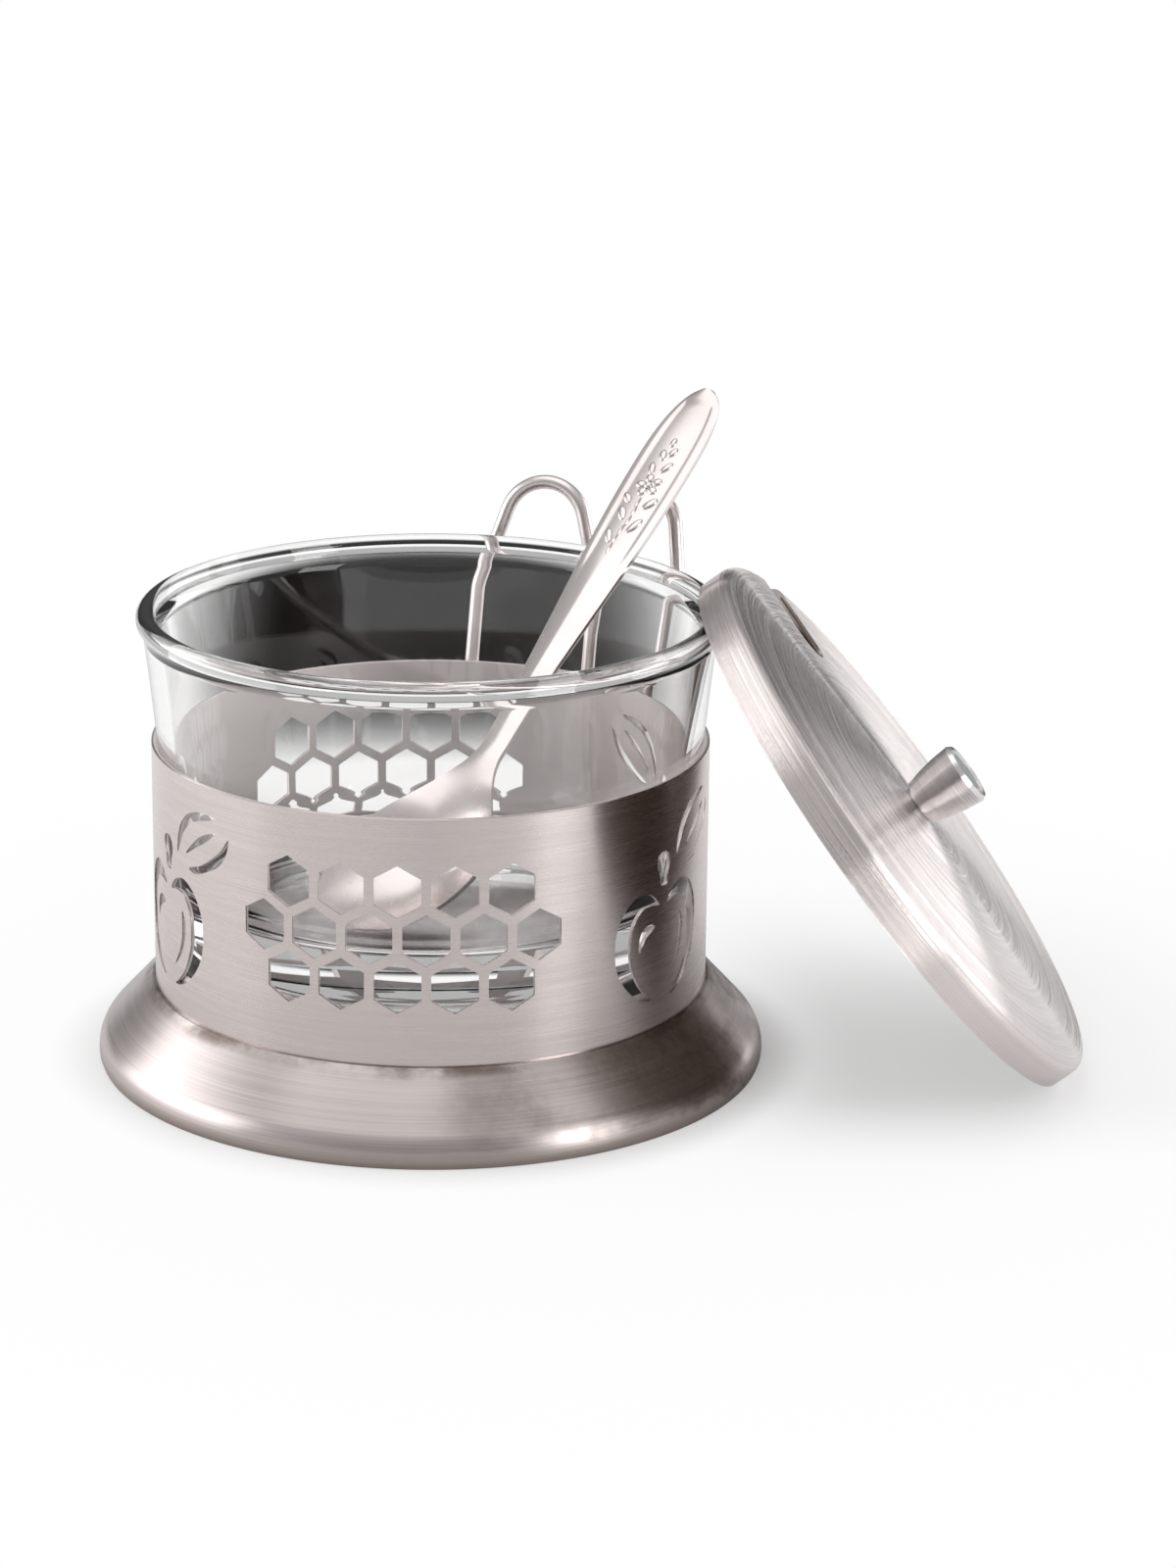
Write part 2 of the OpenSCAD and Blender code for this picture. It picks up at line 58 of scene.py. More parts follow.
SCREW = 1.45 * MM        # radius of the screw under the lid
SCREW_HOLE = 1.53 * MM   # radius of its hole in the lid
WASHER_HOLE = 1.55 * MM  # radius of its hole in the washer
SCREW_DEPTH = 5 * MM     # how far it goes into the knob
PHOTO_WIDE, PHOTO_HIGH = 1200, 1600   # the picture's frame in pixels
FOCAL = 4500             # the camera's focal length in those pixels
AXIS_COLUMN = 439.3      # the column of pixels that the bowl's axis falls on
CAMERA_SPOT = (0.0, -0.665, 0.2521)   # where the camera stands
CAMERA_DIP = 17.38       # degrees by which it looks down


# Sizes and finishes

def length(name, description, millimetres):
    """A size that a user would change, shown as a distance."""
    return bpy.props.FloatProperty(name=name, description=description, default=millimetres * MM,
                                   subtype="DISTANCE", unit="LENGTH", precision=4)


def angle(name, description, degrees):
    """A direction or slope that a user would change."""
    return bpy.props.FloatProperty(name=name, description=description, default=math.radians(degrees),
                                   subtype="ANGLE", unit="ROTATION")


def share(name, description, value):
    """A part of a length, between 0 and 1."""
    return bpy.props.FloatProperty(name=name, description=description, default=value, min=0.0, max=1.0)


def colour(name, description, value):
    """The colour of a finish."""
    return bpy.props.FloatVectorProperty(name=name, description=description, default=value,
                                         subtype="COLOR", size=3, min=0.0, max=1.0)


class DishSizes(bpy.types.PropertyGroup):
    """Sizes of the glass bowl and its stand."""

    rim_radius: length("Rim radius", "Outside radius of the rolled glass rim", 46)
    bead: length("Rim thickness", "Thickness of the rolled rim", 3.2)
    waist_radius: length("Waist radius", "Outside radius of the glass at the sleeve's upper edge", 43)
    base_radius: length("Base radius", "Outside radius at the foot of the glass wall", 40.4)
    glass_wall: length("Glass wall", "Thickness of the glass wall", 2.6)
    glass_base: length("Glass base", "Thickness of the heavy base", 9.1)
    seat: length("Seat height", "Height of the plate that carries the glass", 19.3)
    rim_top: length("Rim height", "Height of the top of the rim", 73.5)
    sleeve_radius: length("Sleeve radius", "Outside radius of the pierced sleeve", 43.9)
    sleeve_sheet: length("Sleeve sheet", "Thickness of the sleeve", 0.6)
    sleeve_top: length("Sleeve top", "Height of the sleeve's upper edge", 52.2)
    shoulder: length("Shoulder height", "Height of the shoulder that the sleeve stands on", 13)
    shoulder_lip: length("Shoulder lip", "How far the shoulder stands out past the sleeve", 0.6)
    foot_radius: length("Foot radius", "Outside radius of the flared foot", 53.1)
    foot_roll: length("Foot roll", "Radius of the roll at the foot's edge", 5.5)
    foot_edge: length("Foot edge", "Height of the straight edge under the roll", 1.4)
    foot_sheet: length("Foot sheet", "Thickness of the foot", 0.9)
    cell: length("Comb cell", "Width of a comb cell across its flats", 7.2)
    web: length("Comb web", "Steel between two cells", 1.5)
    comb_height: length("Comb height", "Height of the middle row of the combs", 33.1)
    apple: length("Apple", "Half the width of an apple", 11.2)
    apple_height: length("Apple height", "Height of the apples' centres", 26.7)
    apple_gap: length("Apple gap", "Steel between a comb and an apple", 10.1)
    apple_pitch: length("Apple pitch", "Distance round the sleeve between the apples on the left", 31)
    apple_share: share("Second apple", "Its place on the right, from the first to the back comb", 0.53)
    panel_turn: angle("Front comb", "Direction of the front comb, from the front to the right", -6.5)


class WireSizes(bpy.types.PropertyGroup):
    """Sizes of the wire spoon rest."""

    wire: length("Wire", "Diameter of the wire", 2.3)
    arch_top: length("Arch height", "Height of the wire's centre at the top of the arches", 81.7)
    wide_half: length("Wide arch", "Half the span of the wide arch", 10.6)
    wide_top: length("Wide arch top", "Radius of the top of the wide arch", 7)
    narrow_half: length("Narrow arch", "Half the span of the narrow arch", 8.5)
    narrow_top: length("Narrow arch top", "Radius of the top of the narrow arch", 5.2)
    wide_turn: angle("Wide arch direction", "From the back to the right", 22.6)
    lean: angle("Lean", "How far the arches lean outwards", 13)
    splay: angle("Splay", "How far the sides of an arch spread", 17)
    weld: length("Weld", "Length of leg that is welded to the sleeve", 5)
    weld_drop: length("Weld drop", "Sleeve left free above the welds", 1.1)
    bend: length("Bend", "Radius of the small bends", 8)
    leg_shift: length("Leg shift", "Distance between the two arches' legs where they join", 0.6)


class SpoonSizes(bpy.types.PropertyGroup):
    """Sizes and place of the spoon."""

    long: length("Length", "From the tip of the bowl to the end of the handle", 117.5)
    bowl_long: length("Bowl length", "Length of the bowl", 42)
    bowl_wide: length("Bowl width", "Width of the bowl", 26)
    bowl_deep: length("Bowl depth", "Depth of the bowl", 6)
    neck_wide: length("Neck width", "Width of the neck", 4.6)
    handle_wide: length("Handle width", "Width of the handle near its end", 10.9)
    thick: length("Handle thickness", "Thickness of the handle", 2)
    bowl_thick: length("Bowl thickness", "Thickness of the bowl", 1.1)
    turn: angle("Direction", "Direction of the handle, from the back to the right", 37.5)
    slope: angle("Slope", "Slope of the handle", 38.49)
    bowl_tip: angle("Bowl tip", "How far the bowl tips up from the line of the handle", 9)
    gap: length("Gap", "Distance from the wire and from the glass", 0.3)


class LidSizes(bpy.types.PropertyGroup):
    """Sizes and place of the lid and its knob."""

    radius: length("Lid radius", "Outside radius of the lid", 47.8)
    sheet: length("Lid sheet", "Thickness of the lid", 0.7)
    band: length("Band", "Height of the band", 5.6)
    edge: length("Edge", "Rounding of the upper edge", 2)
    rise: length("Rise", "Rise of the top towards the knob", 1.9)
    slot_wide: length("Slot width", "Width of the spoon slot", 7.2)
    slot_long: length("Slot length", "Length of the spoon slot", 17)
    slot_turn: angle("Slot direction", "From the uppermost point of the leaning lid", 38)
    over_rim: length("Over the rim", "Rise of the leaning lid's edge past the rim", 2.1)
    rim_gap: length("Rim gap", "Distance of the leaning edge from the rim", 0.85)
    turn: angle("Lid direction", "From +X towards the back", -4.5)
    knob_base: length("Knob base", "Radius of the knob at the lid", 3.7)
    knob_top: length("Knob top", "Radius of the knob at its top", 5.1)
    knob_high: length("Knob height", "Height of the knob", 9.3)
    knob_rim: length("Knob rim", "Width of the rim round the stone", 0.7)
    stone_seat: length("Stone seat", "Depth of the stone's seat", 1.2)
    knob_bevel: length("Knob bevel", "Height of the bevel at the top of the knob", 0.7)
    stone_crown: length("Stone crown", "Height of the stone above the knob", 0.4)
    washer: length("Washer", "Radius of the washer under the lid", 4.2)
    washer_thick: length("Washer thickness", "Thickness of the washer", 0.6)
    head: length("Screw head", "Radius of the screw head", 2.8)
    head_high: length("Screw head height", "Height of the screw head", 1.6)


class DishFinish(bpy.types.PropertyGroup):
    """Colours of the metal, the glass and the stage."""

    steel: colour("Brushed steel", "Light colour of the brushed steel", (0.67, 0.605, 0.592))
    steel_dark: colour("Brushing", "Dark colour of the brushing", (0.56, 0.5, 0.487))
    # This dark colour is both patina and painted shade: on the foot's lower edge and right side, and
    # inside the lid.
    patina_and_shade: colour("Patina", "Stain under the sleeve and along the foot's edge", (0.165, 0.12, 0.094))
    bright: colour("Polished steel", "Colour of the spoon and the wire", (0.79, 0.735, 0.72))
    turned: colour("Turned steel", "Neutral steel of the knob and the fixings", (0.8, 0.775, 0.77))
    turned_dark: colour("Turned steel, dark", "The grooves of the turned steel", (0.66, 0.635, 0.63))
    glass: colour("Glass", "Tint of the glass", (0.985, 0.98, 0.978))
    floor: colour("Floor", "Colour of the floor", (0.93, 0.93, 0.93))


# Modelling

def start_alone():
    """Leaves edit mode with nothing selected."""
    if bpy.context.object and bpy.context.object.mode != "OBJECT":
        bpy.ops.object.mode_set(mode="OBJECT")
    bpy.ops.object.select_all(action="DESELECT")


def make_active(piece):
    """Selects one piece alone."""
    start_alone()
    bpy.context.view_layer.objects.active = piece
    piece.select_set(True)


def trace(name, points):
    """Draws a chain of edges by extruding one vertex from point to point; stays in edit mode."""
    start_alone()
    bpy.ops.mesh.primitive_plane_add(size=MM)
    piece = bpy.context.object
    piece.name = piece.data.name = name
    bpy.ops.object.mode_set(mode="EDIT")
    bpy.ops.mesh.select_mode(type="VERT")
    bpy.ops.mesh.select_all(action="SELECT")
    bpy.ops.mesh.merge(type="CENTER")
    bpy.ops.transform.translate(value=points[0])
    for a, b in zip(points, points[1:]):
        step = Vector(b) - Vector(a)
        bpy.ops.mesh.extrude_region_move(TRANSFORM_OT_translate={"value": step})
    return piece


def merge(threshold=1e-6):
    """Merges doubles, in edit mode, and selects all that is left."""
    bpy.ops.mesh.select_all(action="SELECT")
    bpy.ops.mesh.remove_doubles(threshold=threshold)
    bpy.ops.mesh.select_all(action="SELECT")


def tidy_mesh():
    """Merges doubles and turns all faces outwards, in edit mode, then leaves it."""
    merge()
    bpy.ops.mesh.normals_make_consistent(inside=False)
    bpy.ops.object.mode_set(mode="OBJECT")


def settle():
    """Applies the selected piece's place, turn and size to its mesh."""
    bpy.ops.object.transform_apply(location=True, rotation=True, scale=True)


def lathe(name, section, steps):
    """Spins a closed section of (radius, height) points round the Z axis."""
    piece = trace(name, [(r, 0, z) for r, z in section + section[:1]])
    merge()
    bpy.ops.mesh.spin(steps=steps, angle=2 * math.pi, center=(0, 0, 0), axis=(0, 0, 1))
    tidy_mesh()
    return piece


def prism(name, outline, depth):
    """A flat outline of (x, z) points, given a depth along Y."""
    piece = trace(name, [(x, -depth / 2, z) for x, z in outline + outline[:1]])
    merge(1e-7)
    bpy.ops.mesh.edge_face_add()
    bpy.ops.mesh.extrude_region_move(TRANSFORM_OT_translate={"value": (0, depth, 0)})
    tidy_mesh()
    return piece


def pebble(radius, stretch, segments):
    """A ball stretched along its axes, for a weld bead or a petal."""
    start_alone()
    bpy.ops.mesh.primitive_uv_sphere_add(segments=segments, ring_count=12, radius=radius)
    bpy.ops.object.mode_set(mode="EDIT")
    bpy.ops.mesh.select_all(action="SELECT")
    bpy.ops.transform.resize(value=stretch)
    bpy.ops.object.mode_set(mode="OBJECT")
    return bpy.context.object


def copy_to(piece, place):
    """A copy with its own mesh, put in place."""
    twin = piece.copy()
    twin.data = piece.data.copy()
    bpy.context.collection.objects.link(twin)
    twin.matrix_world = place
    return twin


def join(name, pieces):
    """Makes one piece of several, with their places in its mesh."""
    start_alone()
    for piece in pieces:
        piece.select_set(True)
    bpy.context.view_layer.objects.active = pieces[0]
    if len(pieces) > 1:
        bpy.ops.object.join()
    joined = bpy.context.object
    joined.name = joined.data.name = name
    settle()
    return joined


def apply_modifier(piece, kind, **settings):
    """Adds a modifier with its settings and applies it."""
    make_active(piece)
    modifier = piece.modifiers.new(kind.lower(), kind)
    for key, value in settings.items():
        setattr(modifier, key, value)
    bpy.ops.object.modifier_apply(modifier=modifier.name)


def carve(piece, cutter):
    """Cuts one piece out of another."""
    bpy.context.view_layer.update()
    apply_modifier(piece, "BOOLEAN", operation="DIFFERENCE", solver="EXACT", object=cutter)
    bpy.data.objects.remove(cutter)


def place(piece, matrix):
    """Moves a piece and applies its place to the mesh."""
    piece.matrix_world = matrix
    make_active(piece)
    settle()


def dress(piece, body, slot, finish, *nodes, smooth=32):
    """Smooths a finished piece, gives it its finish and lets it ride on its body."""
    make_active(piece)
    bpy.ops.object.shade_smooth_by_angle(angle=math.radians(smooth))
    piece.data.materials.clear()
    piece.data.materials.append(finish)
    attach(piece, body)
    if nodes:
        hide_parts(*nodes)


def arc(centre, radius, start, stop, steps):
    """Points on an arc in the plane, angles in degrees."""
    turns = [math.radians(start + (stop - start) * i / steps) for i in range(steps + 1)]
    return [(centre[0] + radius * math.cos(a), centre[1] + radius * math.sin(a)) for a in turns]


def ease(x):
    """Runs smoothly from 0 to 1."""
    t = min(1.0, max(0.0, x))
    return t * t * (3 - 2 * t)


def smooth_line(points, steps):
    """A smooth curve through the points."""
    ends = [points[0]] + points + [points[-1]]
    line = []
    for p0, p1, p2, p3 in zip(ends, ends[1:], ends[2:], ends[3:]):
        for i in range(steps):
            t = i / steps
            line.append(tuple(
                0.5 * (2 * b + (c - a) * t + (2 * a - 5 * b + 4 * c - d) * t * t
                       + (3 * b - a - 3 * c + d) * t ** 3)
                for a, b, c, d in zip(p0, p1, p2, p3)))
    return line + [points[-1]]


def smooth_ring(points, steps=6):
    """A closed smooth curve through the points."""
    spans = [smooth_line([points[(i + k) % len(points)] for k in (-1, 0, 1, 2)], steps)
             for i in range(len(points))]
    return [point for span in spans for point in span[steps:2 * steps]]


# Finishes, node by node

class Socket:
    """An output of a shader node; sums with it add Math nodes."""

    def __init__(self, shader, output):
        self.shader = shader
        self.output = output

    def math(self, operation, other):
        """One Math node on this socket and another value."""
        return self.shader.node("ShaderNodeMath", {"operation": operation}, {0: self, 1: other})

    def __add__(self, other):
        return self.math("ADD", other)

    def __radd__(self, other):
        return self.math("ADD", other)

    def __sub__(self, other):
        return self.math("SUBTRACT", other)

    def __rsub__(self, other):
        return self.shader.node("ShaderNodeMath", {"operation": "SUBTRACT"}, {0: other, 1: self})

    def __mul__(self, other):
        return self.math("MULTIPLY", other)

    def __rmul__(self, other):
        return self.math("MULTIPLY", other)

    def __pow__(self, other):
        return self.math("POWER", other)

    def between(self, low, high):
        """0 at low and below, 1 at high and above, smooth between."""
        return self.shader.node("ShaderNodeMapRange", {"interpolation_type": "SMOOTHSTEP"},
                                {"Value": self, "From Min": low, "From Max": high})


class Shader:
    """A material, or the world, that is built node by node."""

    def __init__(self, name, shelf=None):
        self.material = (bpy.data.materials if shelf is None else shelf).new(name)
        self.material.use_nodes = True
        self.tree = self.material.node_tree
        self.tree.nodes.clear()

    def node(self, kind, settings=None, inputs=None, output=0):
        """Adds a node; settings come first, then the values or links of its sockets."""
        node = self.tree.nodes.new(kind)
        for key, value in (settings or {}).items():
            setattr(node, key, value)
        for key, value in (inputs or {}).items():
            if isinstance(value, Socket):
                self.tree.links.new(value.output, node.inputs[key])
            else:
                node.inputs[key].default_value = value
        return Socket(self, node.outputs[output]) if node.outputs else None

    def coordinates(self, scale=(1, 1, 1), location=(0, 0, 0), rotation=(0, 0, 0)):
        """Object coordinates, brought to a piece's own place and then stretched."""
        point = self.node("ShaderNodeTexCoord", output="Object")
        if any(location) or any(rotation):
            point = self.node("ShaderNodeMapping", {"vector_type": "TEXTURE"},
                              {"Vector": point, "Location": location, "Rotation": rotation})
        return self.node("ShaderNodeMapping", {"vector_type": "POINT"}, {"Vector": point, "Scale": scale})

    def noise(self, point, detail=3.0, roughness=0.55):
        """Soft noise about 0.5."""
        return self.node("ShaderNodeTexNoise", {},
                         {"Vector": point, "Scale": 1.0, "Detail": detail, "Roughness": roughness})

    def axes(self, point):
        """The x, y and z of a vector."""
        split = self.node("ShaderNodeSeparateXYZ", {}, {"Vector": point})
        return [Socket(self, output) for output in split.output.node.outputs]

    def vector(self, x, y, z):
        """A vector from three values."""
        return self.node("ShaderNodeCombineXYZ", {}, {"X": x, "Y": y, "Z": z})

    def blend(self, factor, a, b):
        """A colour between two colours."""
        return self.node("ShaderNodeMix", {"data_type": "RGBA"},
                         {0: factor, 6: rgba(a), 7: rgba(b)}, output=2)

    def across(self, operation, a, b=(0, 0, 0)):
        """Vector maths on one or two vectors."""
        return self.node("ShaderNodeVectorMath", {"operation": operation}, {0: a, 1: b})

    def grooves(self, slope, centre, axis):
        """A normal that leans over grooves turned about an axis, by the slope of each groove's side."""
        normal = self.node("ShaderNodeNewGeometry", output="Normal")
        arm = self.across("SUBTRACT", self.coordinates(), centre)
        round_axis = self.across("NORMALIZE", self.across("CROSS_PRODUCT", arm, axis))
        over = self.across("CROSS_PRODUCT", normal, round_axis)
        lean = self.node("ShaderNodeVectorMath", {"operation": "SCALE"}, {0: over, "Scale": slope})
        return self.across("NORMALIZE", self.across("ADD", normal, lean))

    def bump(self, height, strength, distance):
        """A normal from a height."""
        return self.node("ShaderNodeBump", {},
                         {"Height": height, "Strength": strength, "Distance": distance})

    def surface(self, inputs):
        """Ends the material in a Principled surface."""
        return self.end(self.node("ShaderNodeBsdfPrincipled", {}, inputs))

    def mixture(self, factor, a, b):
        """Ends the material in a mix of two surfaces."""
        return self.end(self.node("ShaderNodeMixShader", {}, {0: factor, 1: a, 2: b}))

    def end(self, surface, kind="ShaderNodeOutputMaterial"):
        """Leads a surface to the output."""
        self.node(kind, {}, {"Surface": surface})
        return self.material


def rgba(value):
    """A colour with its alpha, unless it is a socket already."""
    return value if isinstance(value, Socket) else (*value, 1.0)


def from_axis(x, y):
    """Distance from the Z axis."""
    return (x * x + y * y) ** 0.5


def turned_axis(rotation):
    """The Z axis, turned with a piece."""
    axis = Vector((0, 0, 1))
    axis.rotate(Euler(rotation))
    return axis


def brushed_band(finish, sizes):
    """Steel sheet brushed round the sleeve, with fine streaks of uneven length."""
    shader = Shader("brushed_band")
    fine = shader.noise(shader.coordinates((70, 70, 5200)), detail=4.0, roughness=0.7)
    wide = shader.noise(shader.coordinates((25, 25, 700)), detail=2.0)
    cloud = shader.noise(shader.coordinates((38, 38, 30)), detail=2.0)
    streak = fine * 0.65 + wide * 0.35
    x, y, _ = shader.axes(shader.coordinates())
    sheet = sizes.sleeve_sheet
    # The inner face gets the lighter polished colour and less metal: partly a duller mill finish, partly
    # painted light on the inner wall.
    inside = 1 - (from_axis(x, y) - sizes.sleeve_radius).between(-0.67 * sheet, -0.33 * sheet)
    outside = shader.blend(streak.between(0.2, 0.8), finish.steel_dark, finish.steel)
    return shader.surface({
        "Base Color": shader.blend(inside, outside, finish.bright),
        "Metallic": 1 - inside * 0.65,
        "Roughness": streak * 0.12 + cloud * 0.06 + 0.18 + inside * 0.22,
        "Anisotropic": 0.8,
        "Anisotropic Rotation": 0.25,
        "Normal": shader.bump(streak, 0.12, 0.00005),
    })


def stained_foot(finish, sizes):
    """Satin steel spun round the foot, stained dark under the sleeve, with painted shade along its lower
    edge and, mixed with patina, towards its right side under the lid.
    """
    shader = Shader("stained_foot")
    x, y, z = shader.axes(shader.coordinates())
    radius = from_axis(x, y)
    along = x * 30 + y * 20
    lines = shader.noise(shader.vector(radius * 3800, z * 3800, along), detail=3.0, roughness=0.65)
    blots = shader.noise(shader.coordinates((75, 75, 110)), detail=5.0, roughness=0.62)
    cloud = shader.noise(shader.coordinates((22, 22, 22)), detail=2.0)
    seam = z.between(sizes.shoulder - 2.2 * MM, sizes.shoulder - 0.3 * MM) * blots.between(0.36, 0.62)
    # Blotchy patina that grows heavier towards the right: partly real tarnish, partly painted shade where
    # the lid shades the foot.
    patina_and_right_shade = blots.between(0.36, 0.72) * (cloud + x * 7).between(0.4, 0.85) * 0.85
    # Painted shade along the foot's lower edge beside the floor, which also damps the highlights there.
    low = (1 - z.between(0.2 * MM, 3.6 * MM)) * 0.6
    stain_and_shade = (seam * 0.85).math("MAXIMUM", patina_and_right_shade).math("MAXIMUM", low)
    metal = shader.blend(lines.between(0.3, 0.7), finish.steel_dark, finish.steel)
    return shader.surface({
        "Base Color": shader.blend(stain_and_shade, metal, finish.patina_and_shade),
        "Metallic": 1.0,
        "Roughness": lines * 0.14 + stain_and_shade * 0.16 + 0.26,
        "Anisotropic": 0.6,
        "Anisotropic Rotation": 0.25,
        "Normal": shader.bump(lines * 0.7 + blots * 0.3, 0.1, 0.00006),
    })


def spun_lid(finish, lid, centre, rotation):
    """Steel brushed in circles about the knob; its inside is rougher and painted dark as shade."""
    shader = Shader("spun_lid")
    x, y, z = shader.axes(shader.coordinates(location=centre, rotation=rotation))
    radius = from_axis(x, y)
    rings = shader.noise(shader.vector(radius * 30000, z * 30000, 0), detail=2.0, roughness=0.7)
    bands = shader.noise(shader.vector(radius * 1000, z * 9000, 0), detail=1.0, roughness=0.6)
    level = z + radius * (lid.rise / lid.radius) - lid.band - lid.rise
    # The underside and the inside of the band take the dark patina colour as painted shade, and a rougher
    # finish.
    under = (1 - level.between(-0.8 * lid.sheet, -0.3 * lid.sheet)) * (
        1 - radius.between(lid.radius - 1.3 * lid.edge, lid.radius - 1.1 * lid.edge))
    behind = (1 - radius.between(lid.radius - 0.8 * lid.sheet, lid.radius - 0.3 * lid.sheet)) * (
        1 - z.between(lid.band - 1.4 * lid.edge, lid.band - 1.2 * lid.edge))
    dull_and_shaded_inside = under.math("MAXIMUM", behind)
    sheen = shader.blend(bands.between(0.3, 0.7), finish.steel, finish.bright)
    return shader.surface({
        "Base Color": shader.blend(dull_and_shaded_inside, sheen, finish.patina_and_shade),
        "Metallic": 1.0,
        "Roughness": bands * 0.04 + 0.11 + dull_and_shaded_inside * 0.3,
        "Normal": shader.grooves((rings - 0.5) * 6, centre, turned_axis(rotation)),
    })


def turned_steel(name, finish, centre, rotation):
    """Satin steel turned on a lathe, with fine grooves round its axis."""
    shader = Shader(name)
    x, y, z = shader.axes(shader.coordinates(location=centre, rotation=rotation))
    radius = from_axis(x, y)
    cut = shader.noise(shader.vector(radius * 6000, z * 6000, 0), detail=3.0, roughness=0.6)
    smear = shader.noise(shader.coordinates((160, 160, 160)), detail=2.0)
    return shader.surface({
        "Base Color": shader.blend(cut.between(0.2, 0.8), finish.turned, finish.turned_dark),
        "Metallic": 1.0,
        "Roughness": smear * 0.1 + 0.13,
        "Normal": shader.grooves((cut - 0.5) * 0.5, centre, turned_axis(rotation)),
    })


def foiled_stone():
    """A cut glass stone with a silver foil behind it, so that each facet throws the light back."""
    shader = Shader("foiled_stone")
    veil = shader.noise(shader.coordinates((300, 300, 300)), detail=2.0)
    return shader.surface({
        "Base Color": shader.blend(veil.between(0.35, 0.7), (0.95, 0.96, 0.97), (0.86, 0.88, 0.9)),
        "Metallic": 0.15,
        "Roughness": 0.03,
        "Coat Weight": 0.6,
        "Coat Roughness": 0.01,
    })


def polished_steel(name, finish, smear_scale, satin):
    """Polished steel with faint smears and hairline scratches; the satin is its least roughness."""
    shader = Shader(name)
    smear = shader.noise(shader.coordinates((smear_scale,) * 3), detail=3.0)
    hair = shader.noise(shader.coordinates((900, 240, 1400)), detail=2.0, roughness=0.7)
    return shader.surface({
        "Base Color": shader.blend(smear.between(0.25, 0.8), finish.bright, finish.steel),
        "Metallic": 1.0,
        "Roughness": smear * 0.12 + hair.between(0.55, 0.75) * 0.05 + satin,
        "Normal": shader.bump(smear * 0.8 + hair * 0.2, 0.05, 0.00008),
    })


def clear_glass(finish):
    """Clear pressed glass with a slight ripple; it lets light through to what it covers."""
    shader = Shader("clear_glass")
    wave = shader.noise(shader.coordinates((90, 90, 34)), detail=1.0)
    smear = shader.noise(shader.coordinates((45, 45, 60)), detail=3.0)
    glass = shader.node("ShaderNodeBsdfPrincipled", {}, {
        "Base Color": rgba(finish.glass),
        "Roughness": smear.between(0.6, 0.9) * 0.02,
        "IOR": 1.5,
        "Transmission Weight": 1.0,
        "Normal": shader.bump(wave, 0.003, 0.0003),
    })
    light = shader.node("ShaderNodeBsdfTransparent", {}, {"Color": rgba(finish.glass)})
    shadow = shader.node("ShaderNodeLightPath", output="Is Shadow Ray")
    return shader.mixture(shadow, glass, light)


# Where things lie

def lid_frame(sizes, lid):
    """Centre and rotation of the leaning lid: one edge on the table, the other over the rim."""
    upper = sizes.rim_top + lid.over_rim
    lean = math.asin(upper / (2 * lid.radius))
    cross = 2 * (sizes.rim_top + lid.rim_gap) / upper - 1
    aside = lid.radius * math.sqrt(1 - cross * cross)
    bead_centre = sizes.rim_radius - sizes.bead / 2
    out = math.sqrt(bead_centre ** 2 - aside ** 2) + lid.radius * math.cos(lean) * cross
    turn = Matrix.Rotation(lid.turn, 4, "Z")
    centre = turn @ Vector((out, 0, lid.radius * math.sin(lean) + CLEAR))
    return centre, Euler((0, lean, lid.turn))


def lid_matrix(context, height=0.0):
    """Puts a piece that was made upright on the leaning lid, at a height above its edge."""
    centre, rotation = lid_frame(context.scene.dish_sizes, context.scene.dish_lid)
    return Matrix.Translation(centre) @ rotation.to_matrix().to_4x4() @ Matrix.Translation((0, 0, height))


class WirePath:
    """The bent wire of the spoon rest, worked out from its sizes."""

    def __init__(self, sizes, wire):
        self.wire = wire
        self.weld_top = sizes.sleeve_top - wire.weld_drop
        self.weld_radius = sizes.sleeve_radius + WELD_GAP + wire.wire / 2
        self.lean_long = wire.bend * wire.lean
        self.up = (wire.arch_top - self.weld_top - wire.bend * math.sin(wire.lean)) / math.cos(wire.lean)
        legs = [wire.wide_half, wire.narrow_half, -wire.leg_shift]
        self.narrow_turn = wire.wide_turn + sum(math.asin(leg / self.weld_radius) for leg in legs)

    def out_up(self, v):
        """Distance out from the sleeve and up from the weld, at a height along an arch."""
        wire = self.wire
        if v > 0:
            return (wire.bend * (1 - math.cos(wire.lean)) + v * math.sin(wire.lean),
                    wire.bend * math.sin(wire.lean) + v * math.cos(wire.lean))
        if v > -self.lean_long:
            tilt = wire.lean * (1 + v / self.lean_long)
            return wire.bend * (1 - math.cos(tilt)), wire.bend * math.sin(tilt)
        return 0.0, v + self.lean_long

    def arch(self, half, top, turn, left_leg):
        """Points along an arch that faces outwards at a turn from the back."""
        wire, splay = self.wire, self.wire.splay
        slope = (half - wire.bend * (1 - math.cos(splay)) - top * math.cos(splay)) / math.sin(splay)
        leg = self.up - top * (1 - math.sin(splay)) - slope * math.cos(splay) - wire.bend * math.sin(splay)
        bends = [splay * i / 6 for i in range(7)]
        right = [(half - wire.bend * (1 - math.cos(h)), leg + wire.bend * math.sin(h)) for h in bends]
        foot = [-self.lean_long * i / 4 for i in range(5)] + [-self.lean_long - wire.weld]
        crown = [splay + (math.pi - 2 * splay) * i / 28 for i in range(29)]
        run = [(-half, v) for v in left_leg] + [(-u, v) for u, v in right]
        run += [(-top * math.cos(h), self.up - top * (1 - math.sin(h))) for h in crown]
        run += right[::-1] + [(half, v) for v in foot]
        base = math.sqrt(self.weld_radius ** 2 - half ** 2)
        spin = Matrix.Rotation(-turn, 4, "Z")
        points = []
        for u, v in run:
            out, up = self.out_up(v)
            points.append(spin @ Vector((u, base + out, self.weld_top + up)))
        return points


